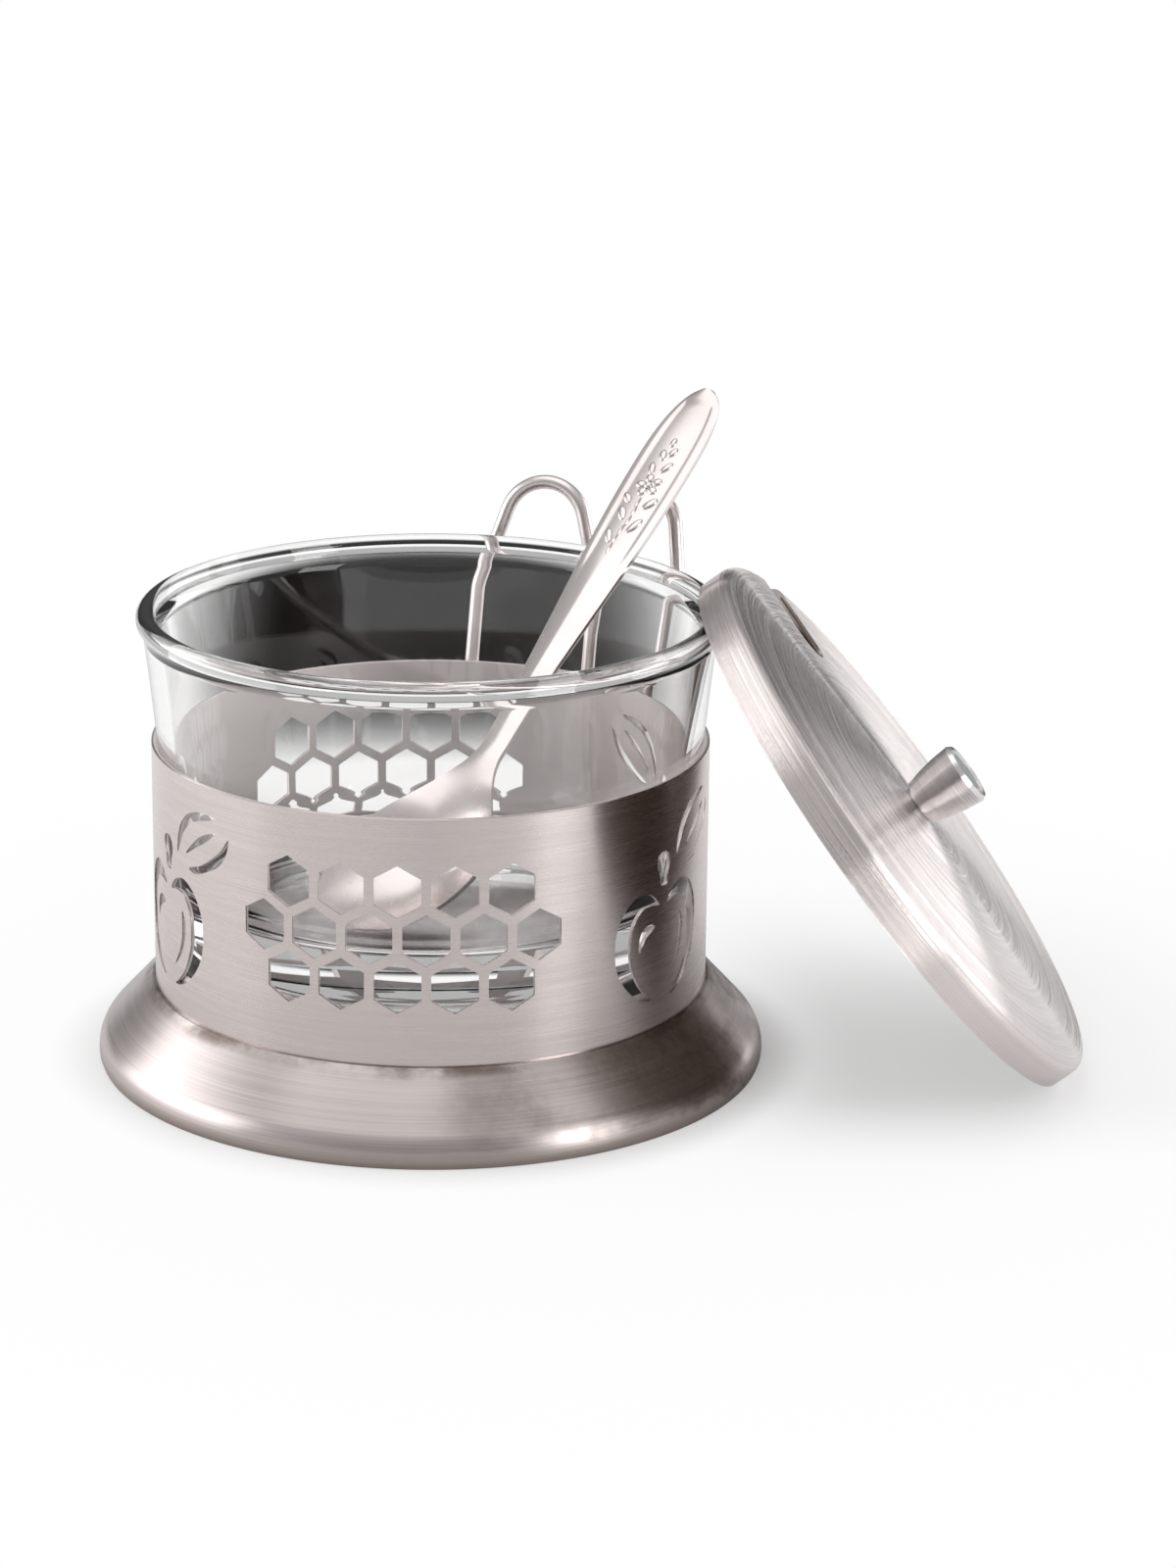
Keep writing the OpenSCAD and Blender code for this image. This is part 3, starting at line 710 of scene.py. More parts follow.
class SpoonForm:
    """The spoon's faces: s runs from the tip of the bowl along the handle, v from -1 to 1 across."""

    def __init__(self, spoon):
        self.spoon = spoon
        self.widest = spoon.bowl_long * 0.42                  # where the bowl is widest
        self.handle = spoon.long - spoon.handle_wide * 1.65   # where the handle starts to round off
        self.least = 0.6 * MM                                 # width left at both ends
        self.crown = 0.5 * MM                                 # how far the handle's faces bulge

    def half(self, s):
        """Half the width."""
        spoon = self.spoon
        if s < self.widest:
            round_off = math.sqrt(max(0, 1 - (1 - s / self.widest) ** 2))
            return max(self.least, spoon.bowl_wide * round_off) / 2
        if s < spoon.bowl_long:
            way = ease((s - self.widest) / (spoon.bowl_long - self.widest))
            return (spoon.bowl_wide + (spoon.neck_wide - spoon.bowl_wide) * way) / 2
        if s < self.handle:
            way = ease((s - spoon.bowl_long) / (self.handle - spoon.bowl_long))
            return (spoon.neck_wide + (spoon.handle_wide - spoon.neck_wide) * way) / 2
        end = (s - self.handle) / (spoon.long - self.handle)
        return max(self.least, spoon.handle_wide * math.sqrt(max(0, 1 - end ** 2.7))) / 2

    def bowl_share(self, s):
        """1 in the bowl, 0 along the handle."""
        return 1 - ease((s - self.widest) / (self.spoon.bowl_long * 1.15 - self.widest))

    def plain_upper(self, s, v):
        """Height of the upper face without its ornament."""
        spoon, bowl = self.spoon, self.bowl_share(s)
        wide = 2 * self.half(s) / spoon.bowl_wide
        return (spoon.thick + max(0, spoon.bowl_long - s) * math.tan(spoon.bowl_tip)
                + (1 - bowl) * self.crown * (1 - v * v)
                - bowl * spoon.bowl_deep * min(1, wide * wide) * (1 - v * v))

    def lower(self, s, v):
        """Height of the lower face."""
        bowl, edge = self.bowl_share(s), 0.35 + 0.65 * math.sqrt(max(0, 1 - v * v))
        thick = self.spoon.thick + self.crown * (1 - v * v)
        return self.plain_upper(s, v) - bowl * self.spoon.bowl_thick - (1 - bowl) * thick * edge

    def upper(self, s, v):
        """Height of the upper face: a ridge up the shank, then a field inside a raised border."""
        spoon = self.spoon
        field = ease((s - 0.62 * spoon.long) / (0.1 * spoon.long))
        shank = ease((s - spoon.bowl_long) / (0.12 * spoon.long)) * (1 - field)
        end = max(0.0, (s - self.handle) / (spoon.long - self.handle))
        rim = max(abs(v), end ** 1.5)
        ridge = 0.3 * MM * (1 - abs(v)) * shank
        border = field * (0.22 * MM * ease((rim - 0.66) / 0.14) - 0.2 * MM)
        return self.plain_upper(s, v) - 0.12 * MM + ridge + border

    def stations(self, count):
        """Places along the spoon, closer together towards both ends."""
        spoon = self.spoon
        first = [self.widest * (1 - math.cos(math.pi / 2 * i / count)) for i in range(count + 1)]
        middle = [self.widest + (self.handle - self.widest) * i / (3 * count)
                  for i in range(1, 3 * count + 1)]
        last = [self.handle + (spoon.long - self.handle) * math.sin(0.44 * math.pi * i / count)
                for i in range(1, count + 1)]
        return first + middle + last

    def matrix(self, sizes, path):
        """Lays the handle over the narrow arch and the bowl on the floor of the glass."""
        spoon, wire = self.spoon, path.wire
        reach = math.sqrt(path.weld_radius ** 2 - wire.narrow_half ** 2) + path.out_up(path.up)[0]
        rest = Vector((reach * math.sin(path.narrow_turn), reach * math.cos(path.narrow_turn),
                       wire.arch_top + (wire.wire / 2 + spoon.gap) / math.cos(spoon.slope)))
        lowest = min(s * math.sin(spoon.slope) + self.lower(s, v / 8) * math.cos(spoon.slope)
                     for s in self.stations(14) for v in range(-8, 9))
        floor = sizes.seat + sizes.glass_base + spoon.gap
        from_tip = (rest.z + lowest - floor) / math.sin(spoon.slope)
        turn = Matrix.Rotation(math.pi / 2 - spoon.turn, 4, "Z") @ Matrix.Rotation(-spoon.slope, 4, "Y")
        return Matrix.Translation(rest) @ turn @ Matrix.Translation((-from_tip, 0, 0))


# Pieces

class DISH_OT_foot(bpy.types.Operator):
    """Spins the flared foot and its collar"""

    bl_idname = "dish.foot"
    bl_label = "Foot"

    def execute(self, context):
        sizes = context.scene.dish_sizes
        sheet, roll_radius = sizes.foot_sheet, sizes.foot_roll
        rim = sizes.foot_radius - FOOT_HEM
        shoulder = sizes.sleeve_radius + sizes.shoulder_lip
        collar = sizes.sleeve_radius - sizes.sleeve_sheet - FIT
        collar_top = sizes.seat - PLATE
        roll = (sizes.foot_radius - roll_radius, sizes.foot_edge)
        out, up = shoulder - roll[0], sizes.shoulder - roll[1]
        slope = math.atan2(up, out) - math.acos(roll_radius / math.hypot(out, up))
        corner = shoulder - sheet * (math.cos(slope) - (1 - math.sin(slope)) * math.tan(slope))
        turn = math.degrees(slope)
        low = math.degrees(math.asin((sheet - sizes.foot_edge) / (roll_radius - sheet)))
        soft = 0.25 * MM
        round_edge = arc((shoulder - soft, sizes.shoulder - soft), soft, turn, 90, 5)
        section = [(rim, 0), (sizes.foot_radius - 0.3 * MM, 0),
                   (sizes.foot_radius - 0.05 * MM, 0.5 * sizes.foot_edge)]
        section += arc(roll, roll_radius, 0, turn, 26) + round_edge
        section += [(collar, sizes.shoulder), (collar, collar_top), (collar - sheet, collar_top),
                    (collar - sheet, sizes.shoulder - sheet), (corner, sizes.shoulder - sheet)]
        section += arc(roll, roll_radius - sheet, turn, low, 18) + [(rim, sheet)]
        foot = lathe("foot_spun", section, 192)
        dress(foot, "stand", "foot_steel", stained_foot(context.scene.dish_finish, sizes), "foot")
        return {"FINISHED"}


# Slots that draw an apple, as shares of half its width: a side, its gleams, its stem and its leaf
APPLE_SIDE = ((0.1, 0.55), (0.21, 0.69), (0.41, 0.78), (0.6, 0.765), (0.8, 0.64), (0.95, 0.41), (1, 0.1),
              (0.95, -0.23), (0.79, -0.495), (0.54, -0.715), (0.3, -0.815), (0.2, -0.81), (0.3, -0.745),
              (0.5, -0.545), (0.65, -0.25), (0.697, 0.05), (0.66, 0.34), (0.5, 0.545), (0.3, 0.58))
APPLE_SLOTS = (
    ((-0.18, 0.26), (-0.27, 0.205), (-0.38, 0.15), (-0.46, 0.05), (-0.52, -0.045), (-0.55, 0.06),
     (-0.51, 0.21), (-0.42, 0.295), (-0.3, 0.32)),
    ((0.446, 0.31), (0.53, 0.21), (0.545, 0.05), (0.5, -0.15), (0.4, -0.34), (0.2, -0.535), (0.35, -0.3),
     (0.43, -0.09), (0.44, 0.13)),
    ((-0.07, 0.83), (0.08, 0.81), (0.11, 0.95), (0.16, 1.12), (0.1, 1.26), (-0.02, 1.295), (-0.13, 1.25),
     (-0.16, 1.13), (-0.1, 0.97)),
    ((0.34, 1.14), (0.43, 1.29), (0.56, 1.5), (0.78, 1.68), (1.1, 1.785), (1.32, 1.86), (1.04, 1.88),
     (0.7, 1.79), (0.47, 1.6), (0.36, 1.37)),
    ((0.6, 1.19), (0.87, 1.345), (1.1, 1.48), (1.285, 1.65), (1, 1.54), (0.78, 1.375)),
    ((0.67, 1), (0.85, 0.955), (1.14, 1.07), (1.36, 1.2), (1.5, 1.4), (1.545, 1.625), (1.4, 1.43),
     (1.2, 1.26), (0.95, 1.1)),
)


def apple_outlines(half):
    """Slots that draw an apple with its stem and leaf, about its centre."""
    other = tuple((-x, z) for x, z in reversed(APPLE_SIDE))
    return [[(half * x, half * z) for x, z in smooth_ring(slot)]
            for slot in (APPLE_SIDE, other) + APPLE_SLOTS]


class DISH_OT_sleeve(bpy.types.Operator):
    """Makes the steel sleeve and pierces its combs and apples"""

    bl_idname = "dish.sleeve"
    bl_label = "Sleeve"

    def execute(self, context):
        sizes = context.scene.dish_sizes
        outer, sheet = sizes.sleeve_radius, sizes.sleeve_sheet
        low, high, soft = sizes.shoulder, sizes.sleeve_top, 0.12 * MM
        section = [(outer - sheet, low), (outer, low), (outer, high - soft), (outer - soft, high),
                   (outer - sheet + soft, high), (outer - sheet, high - soft)]
        sleeve = lathe("sleeve_pierced", section, 288)
        pitch = sizes.cell + sizes.web
        comb_half = 3 * pitch - sizes.web / 2
        near = (comb_half + sizes.apple_gap + sizes.apple) / outer
        left = near + sizes.apple_pitch / outer
        right = near + sizes.apple_share * (2 * math.pi - left - 2 * near - comb_half / outer)
        depth = outer / 2

        def at(turn, height):
            """Puts a cutter on the sleeve."""
            return (Matrix.Rotation(sizes.panel_turn + turn, 4, "Z")
                    @ Matrix.Translation((0, -outer, height)))

        hexagon = [(sizes.cell / math.sqrt(3) * math.sin(math.pi / 3 * i),
                    sizes.cell / math.sqrt(3) * math.cos(math.pi / 3 * i)) for i in range(6)]
        cell = prism("cell", hexagon, depth)
        cutters = []
        for comb in (0, -left - near):
            for row in (-1, 0, 1):
                count = 6 - abs(row)
                height = sizes.comb_height + row * pitch * math.sqrt(0.75)
                for i in range(count):
                    turn = comb + (i - (count - 1) / 2) * pitch / outer
                    cutters.append(copy_to(cell, at(turn, height)))
        bpy.data.objects.remove(cell)
        slots = [prism("slot", outline, depth) for outline in apple_outlines(sizes.apple)]
        apple = join("apple", slots)
        for turn in (near, right, -near, -left):
            cutters.append(copy_to(apple, at(turn, sizes.apple_height)))
        bpy.data.objects.remove(apple)
        carve(sleeve, join("cutters", cutters))
        dress(sleeve, "stand", "sleeve_steel", brushed_band(context.scene.dish_finish, sizes), "sleeve")
        return {"FINISHED"}


class DISH_OT_plate(bpy.types.Operator):
    """Finishes the plate under the glass"""

    bl_idname = "dish.plate"
    bl_label = "Floor plate"

    def execute(self, context):
        finish = context.scene.dish_finish
        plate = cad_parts["floor_plate"]
        plate.data.materials.clear()
        plate.data.materials.append(turned_steel("spun_plate", finish, (0, 0, 0), (0, 0, 0)))
        return {"FINISHED"}


class DISH_OT_spoon_rest(bpy.types.Operator):
    """Bends the wire arches and welds them to the sleeve"""

    bl_idname = "dish.spoon_rest"
    bl_label = "Spoon rest"

    def execute(self, context):
        wire = context.scene.dish_wire
        path = WirePath(context.scene.dish_sizes, wire)
        foot = [-path.lean_long - wire.weld] + [path.lean_long * (i / 4 - 1) for i in range(5)]
        wide = path.arch(wire.wide_half, wire.wide_top, wire.wide_turn, foot)
        narrow = path.arch(wire.narrow_half, wire.narrow_top, path.narrow_turn, [0.17 * path.up])
        pieces = []
        for points in (wide, narrow):
            trace("arch", [tuple(p) for p in points])
            bpy.ops.object.mode_set(mode="OBJECT")
            bpy.ops.object.convert(target="CURVE")
            arch = bpy.context.object
            arch.data.dimensions = "3D"
            arch.data.bevel_depth = wire.wire / 2
            arch.data.bevel_resolution = 6
            arch.data.use_fill_caps = True
            bpy.ops.object.convert(target="MESH")
            pieces.append(bpy.context.object)
        for point in (wide[0], wide[-1], narrow[-1]):
            pieces.append(self.weld(point, wire))
        rest = join("rest_wire", pieces)
        finish = polished_steel("polished_wire", context.scene.dish_finish, 150, 0.26)
        dress(rest, "stand", "wire_steel", finish, "spoon_rest", smooth=50)
        return {"FINISHED"}

    def weld(self, point, wire):
        """A small bead of weld between the lower end of a leg and the sleeve."""
        outward = Vector((point.x, point.y, 0)).normalized()
        bead = pebble(wire.wire * 0.52, (1.0, 0.8, 1.5), 24)
        turn = Matrix.Rotation(math.atan2(outward.y, outward.x) - math.pi / 2, 4, "Z")
        inward, above = 0.3 * MM, 1.2 * MM   # from the end of the wire's centre line
        spot = point - outward * inward + Vector((0, 0, above))
        bead.matrix_world = Matrix.Translation(spot) @ turn
        return bead


class DISH_OT_glass_bowl(bpy.types.Operator):
    """Spins the glass bowl with its rolled rim and heavy base"""

    bl_idname = "dish.glass_bowl"
    bl_label = "Glass bowl"

    def execute(self, context):
        sizes = context.scene.dish_sizes
        bead = sizes.bead / 2
        bead_centre = (sizes.rim_radius - bead, sizes.rim_top - bead)
        wall, seat = sizes.glass_wall, sizes.seat + CLEAR
        floor = sizes.seat + sizes.glass_base
        heel, hollow = 3 * MM, 0.6 * MM
        base = sizes.base_radius
        belly = (base + 1.4 * MM, seat + 17 * MM)
        waist = (sizes.waist_radius, sizes.sleeve_top)
        neck = (waist[0] + 1.0 * MM, waist[1] + 10 * MM)
        under_rim = sizes.rim_radius - 1.0 * MM
        outside = smooth_line([(base, seat + heel), belly, waist, neck,
                               (under_rim, bead_centre[1] - 1.5 * MM)], 7)
        inside = [(r - wall, z) for r, z in (neck, waist, belly)]
        inside = smooth_line([(under_rim - wall, bead_centre[1] - 1.6 * MM), *inside,
                              (base - wall, floor + heel)], 7)
        section = [(0, seat + hollow), (base - 9 * MM, seat + hollow), (base - 6 * MM, seat)]
        section += arc((base - heel, seat + heel), heel, -90, 0, 10)[:-1] + outside[:-1]
        section += arc(bead_centre, bead, -58, 228, 26) + inside[1:-1]
        section += arc((base - wall - heel, floor + heel), heel, 0, -90, 10) + [(0, floor)]
        bowl = lathe("bowl_glass", section, 192)
        finish = clear_glass(context.scene.dish_finish)
        dress(bowl, "bowl", "clear_glass", finish, "glass_bowl", smooth=60)
        return {"FINISHED"}


class DISH_OT_spoon(bpy.types.Operator):
    """Presses the spoon with its bowl, ridge and border, and lays a flower sprig on its handle"""

    bl_idname = "dish.spoon"
    bl_label = "Spoon"

    def execute(self, context):
        scene = context.scene
        form = SpoonForm(scene.dish_spoon)
        place_on = form.matrix(scene.dish_sizes, WirePath(scene.dish_sizes, scene.dish_wire))
        columns = 26
        across = [-math.cos(math.pi * j / columns) for j in range(columns + 1)]
        stations = form.stations(30)
        count = len(across)
        start_alone()
        bpy.ops.mesh.primitive_grid_add(x_subdivisions=len(stations) - 1, y_subdivisions=columns, size=MM)
        upper = context.object
        spots = sorted(upper.data.vertices, key=lambda spot: (round(spot.co.x, 9), round(spot.co.y, 9)))
        order = [spot.index for spot in spots]
        for i, index in enumerate(order):
            s, v = stations[i // count], across[i % count]
            upper.data.vertices[index].co = (s, v * form.half(s), form.upper(s, v))
        lower = copy_to(upper, Matrix())
        for i, index in enumerate(order):
            s, v = stations[i // count], across[i % count]
            lower.data.vertices[index].co.z = form.lower(s, v)
        spoon = join("spoon_pressed", [upper, lower])
        bpy.ops.object.mode_set(mode="EDIT")
        bpy.ops.mesh.select_mode(type="EDGE")
        bpy.ops.mesh.select_all(action="DESELECT")
        bpy.ops.mesh.select_non_manifold(extend=False)
        bpy.ops.mesh.bridge_edge_loops()
        tidy_mesh()
        apply_modifier(spoon, "BEVEL", width=0.12 * MM, segments=2, limit_method="ANGLE",
                       angle_limit=math.radians(50))
        apply_modifier(spoon, "SUBSURF", levels=1, render_levels=1)
        place(spoon, place_on)
        finish = polished_steel("polished_spoon", scene.dish_finish, 60, 0.18)
        dress(spoon, "spoon", "spoon_steel", finish, "spoon", smooth=60)
        sprig = self.sprig(form, place_on)
        dress(sprig, "spoon", "spoon_steel", finish, smooth=60)
        return {"FINISHED"}

    def petal(self, form, s, y, long, wide, turn, lift=0.0):
        """One raised petal or leaf on the handle; its size and lift are in millimetres."""
        petal = pebble(0.5 * MM, (long, wide, 0.8), 20)
        height = form.upper(s, y / form.half(s)) - 0.04 * MM + lift * MM
        petal.matrix_world = Matrix.Translation((s, y, height)) @ Matrix.Rotation(turn, 4, "Z")
        return petal

    def sprig(self, form, place_on):
        """A flower with its stalk, leaves and buds, up the middle of the handle."""
        heart, aside = 0.818 * form.spoon.long, 0.1 * MM   # the flower's middle, along and across
        spread = 1.5 * MM                                  # from there to the middle of a petal
        petals = [self.petal(form, heart, aside, 1.4, 1.4, 0, 0.12)]
        for i in range(5):
            turn = 2 * math.pi * i / 5 + 0.3
            petals.append(self.petal(form, heart + spread * math.cos(turn),
                                     aside + spread * math.sin(turn), 1.9, 1.6, turn))
        # Joints of the stalk: places along the handle from the flower and across it, in millimetres
        stalk = [(-13.5, 0.3), (-11.5, 0.35), (-9.5, 0.2), (-7.5, -0.1), (-5.5, -0.1), (-3.8, 0.1)]
        for s, y in stalk:
            petals.append(self.petal(form, heart + s * MM, y * MM, 2.6, 0.55, -0.05))
        # Leaves and buds: the same two places, then length, width and turn
        leaves = [(-11.0, 1.82, 3.45, 1.4, 0.5), (-8.4, -1.68, 3.68, 1.47, -0.45),
                  (-6.2, 1.82, 3.45, 1.54, 0.55), (-3.6, -2.1, 3.22, 1.54, -0.6),
                  (-3.0, 2.52, 2.76, 1.4, 0.7), (3.4, 1.26, 2.99, 1.33, 0.35),
                  (4.0, -1.26, 2.76, 1.26, -0.5), (6.4, 0.7, 2.53, 1.4, 0.3),
                  (7.2, -0.84, 2.3, 1.26, -0.35), (9.2, 0.14, 2.07, 1.12, 0.0)]
        for s, y, long, wide, turn in leaves:
            petals.append(self.petal(form, heart + s * MM, y * MM, long, wide, turn))
        sprig = join("spoon_sprig", petals)
        place(sprig, place_on)
        return sprig


class DISH_OT_lid(bpy.types.Operator):
    """Spins the lid and cuts the slot for the spoon"""

    bl_idname = "dish.lid"
    bl_label = "Lid"

    def execute(self, context):
        scene, lid = context.scene, context.scene.dish_lid
        sheet, flat, top = lid.sheet, lid.washer + 1 * MM, lid.band + lid.rise
        edge = (lid.radius - lid.edge, lid.band - lid.edge)
        tilt = math.degrees(math.atan2(lid.rise, edge[0] - flat))
        section = [(lid.radius - sheet, 0), (lid.radius, 0)] + arc(edge, lid.edge, 0, 90 - tilt, 12)
        section += [(flat, top), (SCREW_HOLE, top), (SCREW_HOLE, top - sheet), (flat, top - sheet)]
        section += arc(edge, lid.edge - sheet, 90 - tilt, 0, 10)
        cap = lathe("lid_spun", section, 240)
        half = lid.slot_wide / 2
        inner = lid.radius - lid.slot_long + half
        past = lid.radius + half
        outline = arc((inner, 0), half, 90, 270, 24) + [(past, -half), (past, half)]
        slot = prism("slot", outline, 4 * top)
        upright = Matrix.Rotation(math.pi / 2, 4, "X")
        slot.matrix_world = Matrix.Rotation(math.pi - lid.slot_turn, 4, "Z") @ upright
        carve(cap, slot)
        place(cap, lid_matrix(context))
        centre, rotation = lid_frame(scene.dish_sizes, lid)
        dress(cap, "lid", "lid_steel", spun_lid(scene.dish_finish, lid, centre, rotation), "lid")
        return {"FINISHED"}


class DISH_OT_knob(bpy.types.Operator):
    """Turns the knob, sets its stone, and adds the washer and the screw under the lid"""

    bl_idname = "dish.knob"
    bl_label = "Knob"

    def execute(self, context):
        scene, lid = context.scene, context.scene.dish_lid
        centre, rotation = lid_frame(scene.dish_sizes, lid)
        top = lid.band + lid.rise
        steel = turned_steel("turned_knob", scene.dish_finish, centre, rotation)
        high, seat = lid.knob_high, lid.knob_high - lid.stone_seat
        inner = lid.knob_top - lid.knob_rim
        flare = lid.knob_top - lid.knob_base
        side = smooth_line([(lid.knob_base, 0.5 * MM), (lid.knob_base + 0.46 * flare, 0.34 * high),
                            (lid.knob_base + 0.82 * flare, 0.65 * high),
                            (lid.knob_top, high - lid.knob_bevel)], 5)
        groove = lid.knob_base - 0.6 * MM
        section = [(0, CLEAR), (groove - 0.05 * MM, CLEAR), (groove, 0.4 * MM)] + side
        section += [(lid.knob_top - 0.6 * lid.knob_rim, high), (inner, high), (inner, seat), (0, seat)]
        knob = lathe("knob_turned", section, 96)
        place(knob, lid_matrix(context, top))
        dress(knob, "lid", "knob_steel", steel, "lid_knob")
        self.stone(context, inner - FIT, top + seat)
        self.fixings(context, top - lid.sheet)
        return {"FINISHED"}

    def stone(self, context, radius, height):
        """A stone with ten sides: a girdle, a crown of facets and a flat table."""
        lid, sides = context.scene.dish_lid, 10
        start_alone()
        bpy.ops.mesh.primitive_cylinder_add(vertices=sides, radius=radius, depth=lid.stone_seat - CLEAR,
                                            location=(0, 0, (lid.stone_seat + CLEAR) / 2))
        stone = context.object
        stone.name = stone.data.name = "stone_cut"
        bpy.ops.object.mode_set(mode="EDIT")
        for grow, lift in ((0.92, 0.4), (0.87, 0.6)):
            self.pick_top(stone)
            bpy.ops.mesh.extrude_region_move(
                TRANSFORM_OT_translate={"value": (0, 0, lift * lid.stone_crown)})
            bpy.ops.transform.resize(value=(grow, grow, 1), center_override=(0, 0, 0))
            bpy.ops.transform.rotate(value=math.pi / sides, orient_axis="Z", center_override=(0, 0, 0))
        bpy.ops.mesh.select_all(action="SELECT")
        bpy.ops.mesh.quads_convert_to_tris()
        tidy_mesh()
        place(stone, lid_matrix(context, height))
        dress(stone, "lid", "crystal", foiled_stone(), "knob_crystal", smooth=1)

    def pick_top(self, stone):
        """Selects the uppermost face."""
        bpy.ops.mesh.select_mode(type="FACE")
        bpy.ops.mesh.select_all(action="DESELECT")
        bpy.ops.object.mode_set(mode="OBJECT")
        top = max(stone.data.polygons, key=lambda face: face.center.z * face.normal.z)
        top.select = True
        bpy.ops.object.mode_set(mode="EDIT")

    def fixings(self, context, under):
        """The washer and the slotted screw under the lid."""
        scene, lid = context.scene, context.scene.dish_lid
        centre, rotation = lid_frame(scene.dish_sizes, lid)
        steel = turned_steel("plain_fixing", scene.dish_finish, centre, rotation)
        thick, soft = lid.washer_thick, 0.15 * MM
        ring = [(WASHER_HOLE, -thick), (lid.washer - soft, -thick), (lid.washer, soft - thick),
                (lid.washer, -CLEAR), (WASHER_HOLE, -CLEAR)]
        washer = lathe("washer_plain", ring, 64)
        place(washer, lid_matrix(context, under))
        dress(washer, "lid", "fixing_steel", steel, "knob_washer")
        low = -thick - lid.head_high
        section = [(0, low)] + arc((0, low + 5 * lid.head), 5 * lid.head, -90, -79.5, 6)[1:]
        tip = lid.sheet + SCREW_DEPTH
        section += [(lid.head, low + 0.55 * MM), (lid.head, -thick - CLEAR), (SCREW, -thick - CLEAR),
                    (SCREW, tip), (0, tip)]
        screw = lathe("screw_slotted", section, 64)
        past, half = lid.head * 2, 0.4 * MM
        slot = prism("slot", [(-past, -half), (past, -half), (past, half), (-past, half)], lid.head_high)
        slot.matrix_world = Matrix.Translation((0, 0, low)) @ Matrix.Rotation(math.pi / 2, 4, "X")
        carve(screw, slot)
        place(screw, lid_matrix(context, under))
        dress(screw, "lid", "fixing_steel", steel, "knob_screw")


# Stage

# Soft boxes: name, place, the point they face, width, height and watts
LAMPS = (
    ("top_softbox", (-0.15, 0.05, 1.0), (0.0, 0.0, 0.0), 1.1, 0.9, 2.8),
    ("left_softbox", (-0.9, 0.1, 0.32), (0.0, 0.0, 0.05), 1.0, 0.6, 3.8),
    ("right_softbox", (0.75, -0.6, 0.32), (0.02, 0.0, 0.04), 0.32, 0.6, 2.6),
    ("side_softbox", (0.868, 0.386, 0.22), (0.05, 0.0, 0.04), 0.92, 0.42, 2.4),
)
# Dark cards: name, centre, width and depth
FLAGS = (
    ("back_flag", (0.0, 0.29, 0.001), 0.17, 0.3),
    ("lid_flag", (0.22, 0.6, 0.001), 0.2, 0.9),
)


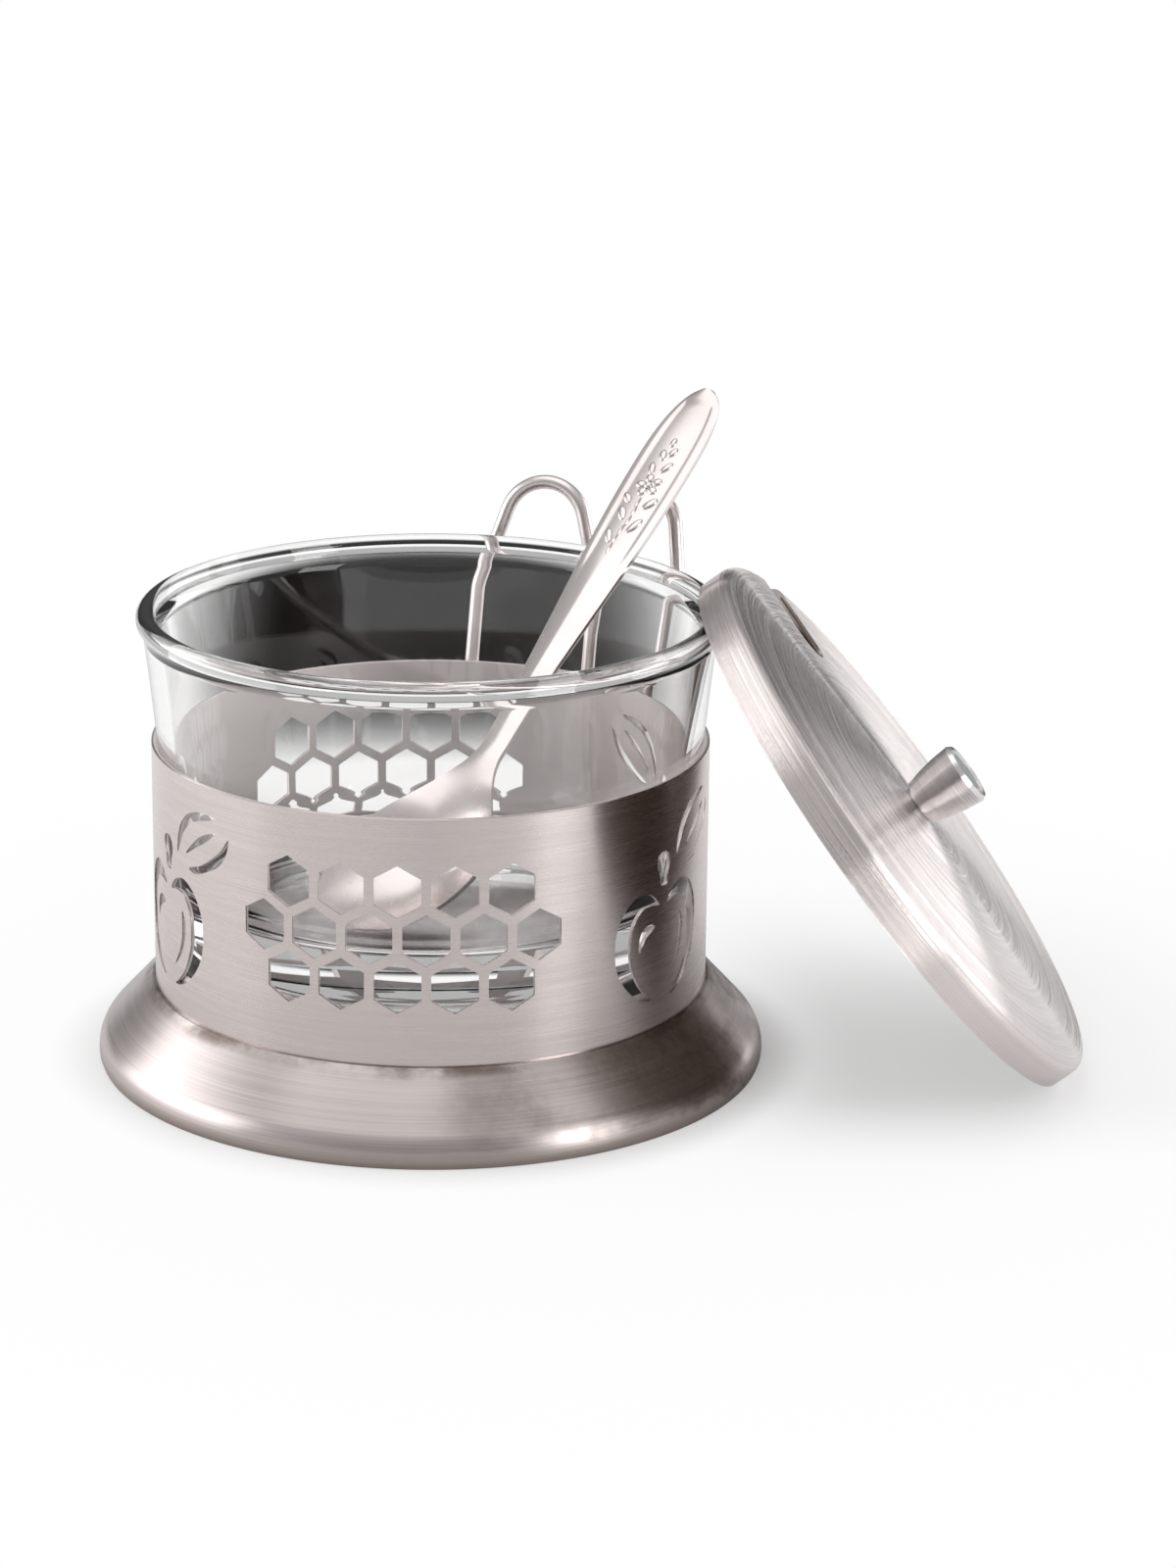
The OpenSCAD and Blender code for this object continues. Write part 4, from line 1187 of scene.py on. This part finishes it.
class DISH_OT_stage(bpy.types.Operator):
    """Sets the floor, the light and the camera"""

    bl_idname = "dish.stage"
    bl_label = "Stage"

    def execute(self, context):
        scene = context.scene
        scene.view_settings.view_transform = "Standard"
        self.floor(scene.dish_finish)
        self.sky(scene)
        for lamp in LAMPS:
            self.lamp(*lamp)
        for flag in FLAGS:
            self.flag(*flag)
        camera = bpy.data.objects.new("camera", bpy.data.cameras.new("camera"))
        context.collection.objects.link(camera)
        camera.location = CAMERA_SPOT
        camera.rotation_euler = (math.radians(90 - CAMERA_DIP), 0.0, 0.0)
        camera.data.sensor_width = 36
        camera.data.lens = camera.data.sensor_width * FOCAL / PHOTO_HIGH
        camera.data.shift_x = (PHOTO_WIDE / 2 - AXIS_COLUMN) / PHOTO_HIGH
        scene.camera = camera
        return {"FINISHED"}

    def floor(self, finish):
        """A pale floor that takes the dish's shadow and runs out to white."""
        start_alone()
        bpy.ops.mesh.primitive_plane_add(size=12.0)
        floor = bpy.context.object
        floor.name = "floor"
        shader = Shader("pale_floor")
        x, y, _ = shader.axes(shader.coordinates())
        away = from_axis(x - 0.03, y)
        far = away.between(0.085, 0.24)   # what polished metal sees as white
        shade = (x.between(0.03, 0.07) * (1 - x.between(0.1, 0.15))   # where the lid's shadow shows more
                 * y.between(-0.055, -0.02) * (1 - y.between(0.02, 0.1)))
        path = shader.node("ShaderNodeLightPath").output.node.outputs
        direct, through, glossy = (
            Socket(shader, path[ray]) for ray in ("Is Camera Ray", "Is Transmission Ray", "Is Glossy Ray"))
        seen = direct.math("MAXIMUM", through)
        front = (1 - (x * x).between(0.0, 0.007)) * (1 - y.between(-0.1, -0.06))   # dim in the sleeve
        contact = 1 - from_axis(x, y).between(0.053, 0.062)   # the line of shadow round the foot
        white_share = (seen * (away.between(0.07, 0.2) * 0.1 + 0.9 - shade * 0.4) * (1 - contact * 0.5)
                       + glossy * (1 - seen) * far * (1 - 0.85 * front))
        paint = shader.node("ShaderNodeBsdfDiffuse", {}, {"Color": rgba(finish.floor)})
        white = shader.node("ShaderNodeEmission", {}, {"Color": (1, 1, 1, 1), "Strength": 1.0})
        floor.data.materials.append(shader.mixture(white_share, paint, white))

    def flag(self, name, centre, wide, deep):
        """A dark card with soft edges behind the dish, which shows only in glass and metal."""
        start_alone()
        bpy.ops.mesh.primitive_plane_add(size=1.0, location=centre)
        card = bpy.context.object
        card.name = name
        bpy.ops.transform.resize(value=(wide, deep, 1))
        settle()
        shader = Shader("dark_card")
        x, y, _ = shader.axes(shader.coordinates(location=centre))
        middle = 1 - (x * x).between((0.2 * wide) ** 2, (0.5 * wide) ** 2)
        middle = middle * (1 - (y * y).between((0.3 * deep) ** 2, (0.5 * deep) ** 2))
        clear = shader.node("ShaderNodeBsdfTransparent")
        dark = shader.node("ShaderNodeBsdfDiffuse", {}, {"Color": (0.004, 0.004, 0.004, 1.0)})
        card.data.materials.append(shader.mixture(middle, clear, dark))
        card.visible_camera = False
        card.visible_shadow = False
        card.visible_diffuse = False

    def sky(self, scene):
        """Soft light from above and from both sides, dim in front and behind; glass shows it pale."""
        shader = Shader("studio", bpy.data.worlds)
        x, _, z = shader.axes(shader.node("ShaderNodeTexCoord", output="Generated"))
        sides = (x * x).between(0.15, 0.7) * (1 - z.between(0.1, 0.7))
        light = z.between(-0.1, 0.9) * 0.6 + sides * 0.4 + 0.1
        through = shader.node("ShaderNodeLightPath", output="Is Transmission Ray")
        light = light.math("MAXIMUM", through * 0.6)
        sky = shader.node("ShaderNodeBackground", {}, {"Strength": light})
        scene.world = shader.end(sky, "ShaderNodeOutputWorld")

    def lamp(self, name, spot, target, wide, high, watts):
        """A soft box that faces a point."""
        data = bpy.data.lights.new(name, "AREA")
        data.shape = "RECTANGLE"
        data.size, data.size_y, data.energy = wide, high, watts
        lamp = bpy.data.objects.new(name, data)
        bpy.context.collection.objects.link(lamp)
        lamp.location = spot
        lamp.rotation_euler = (Vector(target) - Vector(spot)).to_track_quat("-Z", "Y").to_euler()


class DISH_PT_panel(bpy.types.Panel):
    """Lists the dish's pieces"""

    bl_idname = "DISH_PT_panel"
    bl_label = "Honey dish"
    bl_space_type = "VIEW_3D"
    bl_region_type = "UI"
    bl_category = "Dish"

    def draw(self, context):
        for operator in OPERATORS:
            self.layout.operator(operator.bl_idname)
        for group in GROUPS:
            sizes = getattr(context.scene, group)
            box = self.layout.box()
            for name in type(sizes).__annotations__:
                box.prop(sizes, name)


GROUPS = {"dish_sizes": DishSizes, "dish_wire": WireSizes, "dish_spoon": SpoonSizes, "dish_lid": LidSizes,
          "dish_finish": DishFinish}
OPERATORS = (DISH_OT_stage, DISH_OT_foot, DISH_OT_plate, DISH_OT_sleeve, DISH_OT_spoon_rest,
             DISH_OT_glass_bowl, DISH_OT_spoon, DISH_OT_lid, DISH_OT_knob)
CLASSES = (*GROUPS.values(), *OPERATORS, DISH_PT_panel)


def register():
    """Makes the classes and their sizes known to Blender."""
    for kind in CLASSES:
        bpy.utils.register_class(kind)
    for name, group in GROUPS.items():
        setattr(bpy.types.Scene, name, bpy.props.PointerProperty(type=group))


def unregister():
    """Takes them out again."""
    for name in GROUPS:
        delattr(bpy.types.Scene, name)
    for kind in reversed(CLASSES):
        bpy.utils.unregister_class(kind)


def main():
    """Builds the stage and every piece."""
    register()
    for operator in OPERATORS:
        group, name = operator.bl_idname.split(".")
        getattr(getattr(bpy.ops, group), name)()
    start_alone()


if __name__ == "__main__":
    main()
